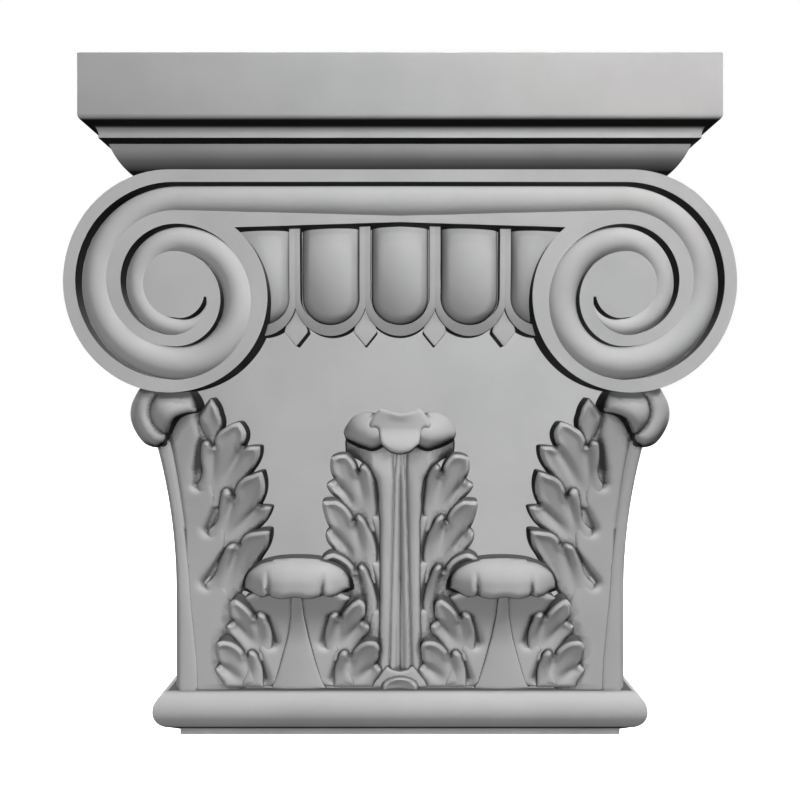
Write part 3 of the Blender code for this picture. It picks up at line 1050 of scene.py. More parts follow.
@dataclass
class Scroll:
    """The band that rolls into a volute at each end, with a channel wound along it and a round roll in it.

    Each half turn of the channel has its half width, its half height and the channel's width where it ends.
    So has the last quarter turn. The bolster's rings give its size along its depth, as depth and share. The
    roll's sizes are shares of the channel's.
    """

    block: Block
    thickness: float = 26.5
    band_top: float = 256.6
    band_underside: float = 233.6
    volute_x: float = 101.0
    volute_outer: Point = (46.5, 48.8)
    volute_inner: Point = (43.0, 42.0)
    shoulder: float = 39.0
    shoulder_angle: float = 51.0
    channel_x: float = 98.6
    channel_depth: float = 10.5
    roll_height: float = 0.66
    roll_width: float = 0.985
    channel_mid: Point = (243.8, 14.9)
    channel_top: Point = (245.0, 12.3)
    half_turns: tuple[Place, ...] = ((36.8, 36.55, 14.7), (26.7, 27.5, 12.0), (18.8, 19.45, 7.7))
    last_quarter: Place = (13.3, 13.1, 1.0)
    bolster_centre: Point = (98.6, 204.0)
    bolster_rings: tuple[Point, ...] = (
        (10.0, 0.955), (24.0, 0.955), (28.0, 0.93), (34.0, 0.885), (42.0, 0.85), (52.0, 0.825), (64.0, 0.815),
        (75.0, 0.82), (76.5, 0.825), (77.0, 0.865), (78.0, 0.875), (88.0, 0.875), (91.85, 0.875),
    )
    steps: int = 72

    @staticmethod
    def _arc(centre: Point, radii: Point, start: float, end: float, steps: int) -> np.ndarray:
        """Points on an ellipse.

        Args:
            centre: Its centre.
            radii: Its radii across and up.
            start: The first point's angle in degrees.
            end: The last point's angle.
            steps: How many steps lie between them.

        Returns:
            The points.
        """
        angle = np.radians(np.linspace(start, end, steps + 1))
        return np.column_stack([centre[0] + radii[0] * np.cos(angle), centre[1] + radii[1] * np.sin(angle)])

    def volute(self) -> np.ndarray:
        """Draw the right volute, from the band's top edge round to the band's underside.

        Returns:
            The outline's points.
        """
        outer_z = self.band_top - self.volute_outer[1]
        inner_z = self.band_top - 2 * self.volute_outer[1] + self.volute_inner[1]
        side_x = self.volute_x - self.volute_inner[0] + self.shoulder
        outer = self._arc((self.volute_x, outer_z), self.volute_outer, 90, -90, self.steps)
        inner = self._arc((self.volute_x, inner_z), self.volute_inner, -90, -180, self.steps // 2)
        turned = 180 - self.shoulder_angle
        top = self._arc((side_x, inner_z), (self.shoulder,) * 2, 180, turned, self.steps // 4)
        return np.vstack([outer, inner[1:], top[1:]])

    def plate(self) -> Form:
        """The flat plate of the band and both volutes.

        Returns:
            The plate as one closed shell.
        """
        right = self.volute()
        left = right[::-1] * (-1, 1)
        outline = np.vstack([right, [[0.0, self.band_underside]], left])[::-1]
        count = len(outline)
        points = [(x, depth, z) for depth in (0.0, self.thickness) for x, z in outline]
        faces = [((i + 1) % count, i, count + i, count + (i + 1) % count) for i in range(count)]
        faces += [tuple(range(count)), tuple(range(2 * count - 1, count - 1, -1))]
        form = Form(self.block)
        form.add(points, faces)
        return form

    def bolster(self) -> Form:
        """The roll that runs back from the right volute to the wall, with a strap at its end.

        Returns:
            The bolster as one closed shell.
        """
        outline = self.volute()
        rings = []
        for depth, scale in self.bolster_rings:
            placed = np.array(self.bolster_centre) + (outline - self.bolster_centre) * scale
            rings.append([(x, depth, z) for x, z in placed])
        return Form(self.block).rings(rings)

    def winding(self) -> np.ndarray:
        """Wind the right half of the channel's middle line, from the band's middle to the eye.

        Returns:
            Its points as across, up and width.
        """
        line = []
        for t in np.linspace(0.0, 1.0, 16, endpoint=False):
            height, width = (low + (high - low) * t for low, high in zip(self.channel_mid, self.channel_top))
            line.append((self.channel_x * t, height, width))
        height, width = self.channel_top
        start = 90.0
        turns = (*self.half_turns, self.last_quarter)
        for number, (across, up, end_width) in enumerate(turns):
            last = number == len(turns) - 1
            sweep = 90.0 if last else 180.0
            down = -1.0 if number % 2 == 0 else 1.0
            centre = height + down * up
            count = self.steps // 2 if last else self.steps
            for t in np.arange(count + last) / count:
                angle = math.radians(start - sweep * t)
                place = (self.channel_x + across * math.cos(angle), centre + up * math.sin(angle))
                line.append((*place, width + (end_width - width) * t))
            height = centre + down * up
            width = end_width
            start -= sweep
        return np.array(line)

    @staticmethod
    def _curve(name: str, points: Sequence[Point], radii: Sequence[float], closed: bool) -> bpy.types.Object:
        """Make a curve that lies flat.

        Args:
            name: Its name.
            points: Its points.
            radii: A radius for each point.
            closed: Whether it runs round to its start.

        Returns:
            The curve's object.
        """
        curve = bpy.data.curves.new(name, "CURVE")
        curve.dimensions = "2D" if closed else "3D"
        spline = curve.splines.new("POLY")
        spline.use_cyclic_u = closed
        spline.points.add(len(points) - 1)
        for target, (x, y), radius in zip(spline.points, points, radii):
            target.co = (x, y, 0.0, 1.0)
            target.radius = radius
        return shown(name, curve)

    def _winding_object(self) -> bpy.types.Object:
        """Draw the channel's middle line.

        Returns:
            A curve, with half the channel's width kept as each point's radius.
        """
        right = self.winding()
        line = np.vstack([right[:0:-1] * (-1, 1, 1), right]) * MM
        return self._curve("winding", line[:, :2], line[:, 2] / 2, False)

    def _section_object(self) -> bpy.types.Object:
        """Draw the channel's cross-section for a half width of 1.

        Returns:
            A closed curve, open far above the face, with the roll rising from the channel's bed.
        """
        above = -20.0
        points = [(1.0, above), (1.0, 0.0)]
        radius = (1.0 + self.roll_height**2) / (2.0 * self.roll_height)
        lean = math.atan2(1.0, radius - self.roll_height)
        for angle in np.linspace(lean, -lean, 21):
            across = self.roll_width * math.sin(angle) / math.sin(lean)
            points.append((across, radius * (math.cos(lean) - math.cos(angle))))
        points += [(-1.0, 0.0), (-1.0, above)]
        return self._curve("section", points, [1.0] * len(points), True)

    def _tree(self, material: bpy.types.Material) -> ShapeTree:
        """Build the tree that winds the channel along its line and cuts it out of the scroll.

        Args:
            material: The scroll's material.

        Returns:
            The tree.
        """
        tree = ShapeTree.named("wound_channel")
        winding = tree.input("Winding", "Object")
        section = tree.input("Section", "Object")
        depth = tree.input("Channel Depth", "Float")
        face = tree.input("Face Plane", "Float")
        line = tree.add("GeometryNodeObjectInfo", {"Object": winding})
        profile = tree.add("GeometryNodeObjectInfo", {"Object": section})
        radius = tree.add("GeometryNodeInputRadius")
        kept = tree.add("GeometryNodeStoreNamedAttribute", {
            "Geometry": line.outputs["Geometry"], "Name": "reach", "Value": radius.outputs[0],
        }, data_type="FLOAT", domain="POINT")
        level = tree.add("GeometryNodeSetCurveRadius", {"Curve": kept.outputs[0], "Radius": 1.0})
        facing = tree.add("GeometryNodeSetCurveNormal", {"Curve": level.outputs[0]}, mode="Z_UP")
        reach = tree.add("GeometryNodeInputNamedAttribute", {"Name": "reach"}, data_type="FLOAT")
        swept = tree.add("GeometryNodeCurveToMesh", {
            "Curve": facing.outputs[0], "Profile Curve": profile.outputs["Geometry"],
            "Scale": reach.outputs[0], "Fill Caps": True,
        })
        place = tree.add("GeometryNodeInputPosition")
        parts = tree.add("ShaderNodeSeparateXYZ", {0: place.outputs[0]})
        from_face = tree.math("SUBTRACT", tree.math("ADD", face, depth), parts.outputs["Z"])
        upright = tree.add("ShaderNodeCombineXYZ", {
            "X": parts.outputs["X"], "Y": from_face, "Z": parts.outputs["Y"],
        })
        stood = tree.add("GeometryNodeSetPosition", {
            "Geometry": swept.outputs[0], "Position": upright.outputs[0],
        })
        cut = tree.add("GeometryNodeMeshBoolean", {"Mesh 1": tree.source.outputs["Geometry"]},
                       operation="DIFFERENCE", solver="MANIFOLD")
        tree.feed(cut, {"Mesh 2": stood.outputs[0]})
        tree.finish(cut.outputs[0], material)
        return tree

    def build(self, shop: Workshop) -> None:
        """Make the band with its bolsters, cut the channel and dress the result.

        Args:
            shop: The workshop that makes it.
        """
        body = self.plate().join(self.bolster().both())
        mesh = self._tree(shop.stone).mesh(shop.mesh("scroll", body), {
            "Winding": self._winding_object(), "Section": self._section_object(),
            "Channel Depth": self.channel_depth * MM, "Face Plane": self.block.face_y,
        })
        shop.dress("scroll", mesh)


@dataclass
class EggRow:
    """The row of eggs in their frames, which leans back toward its foot, with a dart between each pair.

    An egg's pocket and its frame each have a half width, and a foot that drops below the shoulder. The face
    leans back by the cube of the distance from the top, and the bow is how fast it does.
    """

    block: Block
    pitch: float = 31.4
    count: int = 5
    shoulder: float = 201.8
    top: float = 234.0
    cover: float = 4.0
    egg: Point = (13.3, 12.3)
    frame: Point = (16.4, 17.2)
    frame_depth: float = 10.0
    frame_rim: float = 0.5
    rim_share: float = 0.3
    pocket_depth: float = 10.5
    egg_rim: float = 4.0
    egg_steps: Rows = (0.03, 0.1, 0.22, 0.38, 0.56, 0.78, 1.0)
    bow: float = 6.0e-5
    egg_gap: float = 0.4
    egg_bow: Point = (0.024, 0.0065)
    egg_middle: float = 212.0
    dart_half_width: float = 5.4
    dart_tip: float = 179.9
    dart_shoulder: float = 186.6
    dart_head: float = 203.0
    dart_depth: float = 17.5

    def _tongue(self, half_width: float, drop: float) -> Outline:
        """Draw a tongue: straight sides under a flat top, and an elliptical foot.

        Args:
            half_width: Half its width.
            drop: How far its foot drops below the shoulder.

        Returns:
            The outline.
        """
        top = self.top + self.cover
        angle = np.radians(np.linspace(0.0, -180.0, 61))
        foot = [(half_width * math.cos(a), self.shoulder + drop * math.sin(a)) for a in angle]
        return Outline.drawn([(half_width, top), *foot, (-half_width, top)], rounding=0)

    def _face(self, z: np.ndarray) -> np.ndarray:
        """Depth of the row's leaning face at a height."""
        return self.frame_depth + self.bow * np.clip(self.top - z, 0.0, None) ** 3

    def _belly(self, x: np.ndarray, z: np.ndarray) -> np.ndarray:
        """Depth of an egg's belly."""
        across, up = self.egg_bow
        return self._face(z) + across * x**2 + up * (z - self.egg_middle) ** 2

    def _dart_face(self, x: np.ndarray, z: np.ndarray) -> np.ndarray:
        """Depth of the darts' flat face."""
        return np.full_like(x, self.dart_depth)

    def egg_form(self) -> Form:
        """One egg: a tongue with a full, rounded belly.

        Returns:
            The egg as one closed shell.
        """
        half_width, drop = self.egg
        outline = self._tongue(half_width - self.egg_gap, drop - self.egg_gap)
        back = self.block.bed_depth
        relief = Relief(outline, self._belly, back, rim=self.egg_rim, grain=0.9, steps=self.egg_steps)
        return relief.build(Form(self.block))

    def frame_form(self) -> Form:
        """One frame: the flat border round an egg, with a pocket sunk inside it.

        Returns:
            The frame as one closed shell.
        """
        outline = self._tongue(*self.frame)
        outer = outline.points
        inner = self._tongue(*self.egg).points
        match = np.array([inner[np.argmin(np.hypot(*(inner - point).T))] for point in outer])
        shrunk = outer + outline.inward() * self.frame_rim
        edge = outer + (shrunk - outer) * self.rim_share
        face = self._face(outer[:, 1])
        pocket = self._face(match[:, 1])
        rows = (
            (outer, np.full_like(face, self.block.bed_depth)),
            (outer, face + self.frame_rim),
            (edge, face + self.rim_share * self.frame_rim),
            (shrunk, face),
            (match, pocket),
            (match, pocket + self.pocket_depth),
        )
        return Form(self.block).rings([[(x, d, z) for (x, z), d in zip(line, depth)] for line, depth in rows])

    def dart_form(self) -> Form:
        """One dart between two frames.

        Returns:
            The dart as one closed shell.
        """
        corners = [
            (0.0, self.dart_tip), (self.dart_half_width, self.dart_shoulder),
            (0.0, self.dart_head), (-self.dart_half_width, self.dart_shoulder),
        ]
        outline = Outline.drawn(corners, spacing=0.7, rounding=1)
        relief = Relief(outline, self._dart_face, self.block.bed_depth, rim=0.4, grain=1.5)
        return relief.build(Form(self.block))

    def _tree(self, material: bpy.types.Material) -> ShapeTree:
        """Build the tree that sets eggs, frames and darts out along the row.

        Args:
            material: The row's material.

        Returns:
            The tree.
        """
        tree = ShapeTree.named("egg_row")
        pitch = tree.input("Pitch", "Float")
        count = tree.input("Eggs", "Int")
        join = tree.add("GeometryNodeJoinGeometry")
        offset = tree.add("ShaderNodeCombineXYZ", {"X": pitch})
        for name, fewer in (("Egg", 0.0), ("Frame", 0.0), ("Dart", 1.0)):
            shape = tree.add("GeometryNodeObjectInfo", {"Object": tree.input(name, "Object")})
            number = tree.math("SUBTRACT", count, fewer)
            half = tree.math("MULTIPLY", tree.math("SUBTRACT", number, 1.0), -0.5)
            start = tree.add("ShaderNodeCombineXYZ", {"X": tree.math("MULTIPLY", half, pitch)})
            row = tree.add("GeometryNodeMeshLine", {
                "Count": number, "Start Location": start.outputs[0], "Offset": offset.outputs[0],
            })
            placed = tree.add("GeometryNodeInstanceOnPoints", {
                "Points": row.outputs[0], "Instance": shape.outputs["Geometry"],
            })
            tree.feed(join, {0: placed.outputs[0]})
        tree.finish(join.outputs[0], material)
        return tree

    def build(self, shop: Workshop) -> None:
        """Make the three shapes, set them out in a row and dress the row.

        Args:
            shop: The workshop that makes them.
        """
        forms = {"Egg": self.egg_form(), "Frame": self.frame_form(), "Dart": self.dart_form()}
        shapes = {name: shown(name.lower(), shop.mesh(name.lower(), form)) for name, form in forms.items()}
        mesh = self._tree(shop.stone).mesh(bpy.data.meshes.new("row"), {
            "Pitch": self.pitch * MM, "Eggs": self.count, **shapes,
        })
        shop.dress("egg_row", mesh, Grime(hollow=0.2, film=0.05))


@dataclass(frozen=True)
class Lobe:
    """One lobe of a half leaf.

    Attributes:
        template: Its outline. The first point is the foot of the eye beside it.
        root: Where its folds run together.
        eye: Top of the slot between the lobe and the stem, or None where it has no eye.
    """

    template: Template
    root: Point
    eye: Point | None = None

    @property
    def corners(self) -> np.ndarray:
        """The corners of its outline, across and up."""
        return np.array([corner[:2] for corner in self.template], float)

    @property
    def tip(self) -> np.ndarray:
        """The lobe's highest point."""
        return self.corners[np.argmax(self.corners[:, 1])]

    def notches(self, sharpest: float = 0.5) -> list[Point]:
        """The corners where the outline turns in between two points of the lobe.

        Args:
            sharpest: Sine of the least turn that counts.

        Returns:
            The notches.
        """
        corners = self.corners
        before = corners - np.roll(corners, 1, axis=0)
        after = np.roll(corners, -1, axis=0) - corners
        turn = before[:, 0] * after[:, 1] - before[:, 1] * after[:, 0]
        turn /= np.hypot(*before.T) * np.hypot(*after.T)
        outward = np.sign(np.sum(corners[:, 0] * after[:, 1] - corners[:, 1] * after[:, 0]))
        return [tuple(corner) for corner, value in zip(corners, turn * outward) if value < -sharpest]


@dataclass
class HalfLeaf:
    """Half of an acanthus leaf: a body that leans out toward its head, and lobes laid over it like shingles.

    The leaf leans out from lean_start, by lean in a stretch of lean_run, and goes on for lean_stop stretches.
    Widths and depths in pairs belong to the two ends of a fold, a ridge or an eye. The grooves cross both the
    body and the lobes.
    """

    block: Block
    lobes: tuple[Lobe, ...]
    body: Template
    lift: float = 0.0
    tip_depth: float = 19.5
    foot_rise: float = 3.3
    lean_start: float = 68.0
    lean: float = 9.7
    lean_run: float = 77.0
    lean_stop: float = 100.0
    curl: float = 2.6
    fold: float = 2.4
    fold_reach: float = 0.9
    fold_widths: Point = (1.6, 3.6)
    lip: float = 1.1
    lip_width: float = 1.5
    ridge: float = 2.2
    ridge_widths: Point = (3.0, 2.4)
    eye_widths: Point = (2.6, 1.5)
    eye_depths: Point = (3.6, 1.8)
    edge_spread: float = 1.03
    grooves: tuple[tuple[Point, Point], ...] = ()
    groove_widths: Point = (2.3, 2.3)
    groove_depths: Point = (3.0, 3.0)
    rim: float = 1.9
    grain: float = 0.85
    body_rim: float = 3.4
    body_grain: float = 0.6
    root_sink: float = 0.5

    def level(self, z: np.ndarray) -> np.ndarray:
        """Depth of the body at a height, without its folds."""
        leaning = np.clip((z - self.lean_start) / self.lean_run, 0.0, self.lean_stop)
        return self.block.bell_depth - self.foot_rise - self.lift - self.lean * leaning**2

    def cuts(self, x: np.ndarray, z: np.ndarray) -> np.ndarray:
        """Work out the depth of the grooves.

        Args:
            x: The points' places across.
            z: Their heights.

        Returns:
            The depth at each point.
        """
        depth = np.zeros_like(x)
        for start, end in self.grooves:
            depth = np.maximum(depth, gouge(x, z, start, end, self.groove_widths, self.groove_depths))
        return depth

    def body_front(self, x: np.ndarray, z: np.ndarray) -> np.ndarray:
        """Work out the depth of the body, with the eyes cut into it.

        Args:
            x: The points' places across.
            z: Their heights.

        Returns:
            The depth at each point.
        """
        depth = self.level(z) + self.cuts(x, z)
        for lobe in self.lobes:
            if lobe.eye:
                depth = depth + gouge(x, z, lobe.corners[0], lobe.eye, self.eye_widths, self.eye_depths)
        return depth

    def lobe_front(self, lobe: Lobe, outline: Outline) -> Field:
        """Depth of a lobe's front, which rises from the body at its root to its tip.

        Args:
            lobe: The lobe.
            outline: The lobe's outline, which a soft bead follows toward the tip.

        Returns:
            The depth as a function of across and up.
        """
        notches = lobe.notches()

        def front(x: np.ndarray, z: np.ndarray) -> np.ndarray:
            """Work out the lobe's depth.

            Args:
                x: The points' places across.
                z: Their heights.

            Returns:
                The depth at each point.
            """
            t, _ = along(x, z, lobe.root, lobe.tip)
            level = self.level(z) + self.root_sink
            depth = level - (level - self.tip_depth) * t**self.curl + self.cuts(x, z) * (1.0 - ease(2.0 * t))
            inset = outline.inset(np.column_stack([x, z]))
            depth = depth - self.lip * ease(2.0 * t - 0.5) * bump(inset - self.rim, self.lip_width)
            for notch in notches:
                end = np.array(notch) + self.fold_reach * np.subtract(lobe.root, notch)
                depth = depth + gouge(x, z, notch, end, self.fold_widths, (self.fold, 0.0))
            if lobe.eye and notches:
                crest = np.mean([lobe.eye, notches[0]], axis=0)
                depth = depth - gouge(x, z, crest, lobe.root, self.ridge_widths, (self.ridge, 0.0))
            return depth

        return front

    def _spread(self, edge: np.ndarray) -> np.ndarray:
        """A lobe's outline where it meets the bell, a little larger than in front."""
        middle = edge.mean(0)
        return middle + self.edge_spread * (edge - middle)

    def build(self) -> Form:
        """Make the half leaf.

        Returns:
            The body and its lobes as closed shells.
        """
        back = self.block.bed_depth
        body = Outline.drawn(self.body, spacing=0.8, rounding=1)
        form = Relief(body, self.body_front, back, self.body_rim, self.body_grain).build(Form(self.block))
        for lobe in self.lobes:
            outline = Outline.drawn(lobe.template, spacing=0.55)
            front = self.lobe_front(lobe, outline)
            Relief(outline, front, back, self.rim, self.grain, self._spread).build(form)
        return form


@dataclass
class CornerLeaf:
    """A leaf folded round the bell's corner, with a raised rib on the fold and a curled tip under the volute.

    The rib's line gives its inner edge, as height and distance from the centre line. Its edge in section is a
    row of offsets from that line and from the body's face, or for the last one from the rib's own face. Its
    rounding is the least and greatest radius, and the share of its width that the radius takes.
    """

    block: Block
    lobes: tuple[Lobe, ...] = (
        Lobe((
            (92.2, 148.6, 0.02), (86.2, 157, 0.08), (82.2, 149.4, 0.12), (82.4, 141), (86, 132),
            (90.5, 134),
        ), (88.5, 136)),
        Lobe((
            (93.9, 117, -0.1), (91.3, 124, 0.05), (91.6, 134, 0.25), (87.9, 137.3, 0.1),
            (85.6, 134.6, 0.15), (79.7, 143.3, 0.1), (73.2, 145.6, 0.2), (71.9, 134.1, 0.05),
            (64.1, 134.6, 0.1), (67.3, 124), (80, 106), (94, 104),
        ), (90, 104), (91, 134)),
        Lobe((
            (89.3, 95.5, -0.1), (84.3, 102, 0.03), (82.9, 112, 0.25), (79.2, 115.3, 0.1),
            (76.9, 111.2, 0.18), (67.7, 121.7, 0.05), (63.1, 123.1, 0.12), (64.5, 107, 0.05),
            (59, 106.6, 0.08), (64.1, 97.4), (76, 86), (91, 84),
        ), (87, 84), (83, 111)),
        Lobe((
            (90.7, 70.3, -0.1), (85.6, 76.3, 0.03), (82, 85.4, 0.2), (76, 89.6, 0.1), (74.6, 88.7, 0.18),
            (65.9, 95.5, 0.05), (59.5, 96, 0.1), (63, 84), (76, 62), (91, 56),
        ), (87, 58), (82, 84)),
    )
    body: Template = (
        (102, 16), (102, 100), (104, 118), (106, 133), (109, 147), (110, 157), (96, 157), (90, 149),
        (87, 138), (86, 118), (80, 95), (80, 70), (72, 50), (72, 16),
    )
    grooves: tuple[tuple[Point, Point], ...] = (
        ((93.4, 124.0), (90.4, 139.0)), ((90.4, 139.0), (91.6, 148.5)),
    )
    rib_line: tuple[Point, ...] = (
        (21, 94), (35.4, 94.6), (63.1, 97.4), (77, 98.3), (95.5, 100.2), (114, 102.5), (131.6, 105.3),
        (146, 108.5), (157, 110.5),
    )
    rib_heights: Point = (16.0, 157.0)
    rib_proud: float = 1.0
    rib_edge: tuple[Point, ...] = ((-1.5, 1.2), (-0.4, 0.35), (0.4, -0.4), (1.4, 0.15))
    rib_rounding: Place = (1.2, 3.2, 0.4)
    rib_points: int = 10
    rib_bed: float = 2.0
    ball: Template = (
        (108.8, 159.5), (111.2, 155.3), (112.1, 150.5), (111.3, 146), (108.8, 142.4), (106.2, 140.5),
        (104.4, 139.9), (103.4, 142.2), (102, 145), (100, 147.4), (97.3, 148.8), (94.5, 149.6),
        (91.9, 149.9), (90.8, 151.7), (91.2, 154.3), (92.6, 157.2), (94.5, 160),
    )
    ball_centre: Point = (102.0, 150.5)
    ball_depths: Point = (3.4, 0.05)
    crest: Template = (
        (118.2, 161.6), (120.2, 158.2), (122.4, 154.5), (123.5, 150.4), (123.2, 146.5), (121.7, 142.8),
        (119.2, 138.9), (116.5, 135.7), (113.4, 134.5), (109.7, 134), (106.8, 136.2), (105, 139.6),
        (105.4, 143.5), (104, 148), (100.5, 152), (98.2, 162.1),
    )
    crest_centre: Point = (102.5, 150.0)
    crest_depths: Place = (9.5, 0.13, 12.5)
    tip_steps: Rows = (0.015, 0.06, 0.13, 0.23, 0.36, 0.52, 0.74, 1.0)
    tip_backs: Point = (34.0, 18.5)
    ball_step: float = 2.0
    flank_sink: float = 7.0

    def half(self) -> HalfLeaf:
        """The half leaf that both faces of the bell carry."""
        return HalfLeaf(self.block, self.lobes, self.body, grooves=self.grooves)

    def _section(self, reach: float, inner: float) -> list[Point]:
        """Draw the rib's section at one height, with the bell's corner as its origin.

        Args:
            reach: How far the leaf's body stands out there.
            inner: Where the rib's inner edge lies, across from the corner.

        Returns:
            The section's points as across and depth.
        """
        outer = reach + self.rib_proud
        faces = (-reach, -reach, -reach, -outer)
        edge = [(inner + across, face + deep) for (across, deep), face in zip(self.rib_edge, faces)]
        least, most, share = self.rib_rounding
        radius = max(least, min(most, (outer - inner) * share))
        front = list(edge)
        for angle in np.radians(np.linspace(-90.0, -45.0, 6)):
            point = (outer - radius + radius * math.cos(angle), -outer + radius + radius * math.sin(angle))
            if point[0] > edge[-1][0]:
                front.append(point)
        while len(front) < self.rib_points:
            front.insert(len(edge), tuple(np.mean(front[len(edge) - 1 : len(edge) + 1], axis=0)))
        flank = [(-deep, -across) for across, deep in reversed(front[:-1])]
        return [*front, *flank, (inner - self.rib_bed, -inner + self.rib_bed)]

    def rib(self, leaf: HalfLeaf) -> Form:
        """Skin the raised rib on the fold.

        Args:
            leaf: The half leaf beside it.

        Returns:
            The rib as one closed shell.
        """
        corner, depth = self.block.half_width, self.block.bell_depth
        heights, inners = zip(*self.rib_line)
        rings = []
        for height in np.linspace(*self.rib_heights, 88):
            reach = depth - float(leaf.level(np.array(height)))
            inner = float(np.interp(height, heights, inners)) - corner
            rings.append([(corner + x, depth + y, height) for x, y in self._section(reach, inner)])
        return Form(self.block).rings(rings)

    def _ball_front(self, x: np.ndarray, z: np.ndarray) -> np.ndarray:
        """Depth of the ball."""
        depth, fall = self.ball_depths
        return depth + fall * ((x - self.ball_centre[0]) ** 2 + (z - self.ball_centre[1]) ** 2)

    def _crest_front(self, x: np.ndarray, z: np.ndarray) -> np.ndarray:
        """Work out the depth of the crest.

        Args:
            x: The points' places across.
            z: Their heights.

        Returns:
            The depth at each point.
        """
        depth, fall, ring = self.crest_depths
        reach = np.hypot(x - self.crest_centre[0], z - self.crest_centre[1])
        return depth + fall * (reach - ring) ** 2

    def head(self, back: float) -> Form:
        """The curled tip: a ball with a hollow cut under it, in front of a fuller crest.

        Args:
            back: How deep the crest runs back.

        Returns:
            The tip, as the front shows it.
        """
        crest = Outline.drawn(self.crest, spacing=0.5, rounding=6)
        ball = Outline.drawn(self.ball, spacing=0.4, rounding=5)
        steps = self.tip_steps
        form = Relief(crest, self._crest_front, back, rim=5.0, grain=0.8, steps=steps).build(Form(self.block))
        back -= self.ball_step
        return Relief(ball, self._ball_front, back, rim=4.0, grain=0.6, steps=steps).build(form)

    def build(self, shop: Workshop) -> None:
        """Make both corner leaves and dress them.

        Args:
            shop: The workshop that makes them.
        """
        leaf = self.half()
        half, rib = leaf.build(), self.rib(leaf)
        front_tip, flank_tip = (self.head(back) for back in self.tip_backs)
        for side in Side:
            form = Form(self.block).join(
                *(half.moved(side, face=face) for face in Face), rib.moved(side), front_tip.moved(side),
                flank_tip.moved(side, face=Face.FLANK, sink=self.flank_sink),
            )
            shop.piece(f"corner_leaf_{side.word}", form, Grime(hollow=0.75, film=0.12))


def hanging(start: float, run: float, drop: float) -> Callable[[np.ndarray], np.ndarray]:
    """Let a form's walls hang lower toward the back.

    Args:
        start: Height below which they hang.
        run: How far below it they hang in full.
        drop: How far they hang.

    Returns:
        The outline at the back as a function of the front's.
    """
    def hang(edge: np.ndarray) -> np.ndarray:
        """The outline at the back."""
        x, z = edge.T
        return np.column_stack([x, z - drop * np.clip((start - z) / run, 0.0, 1.0)])

    return hang


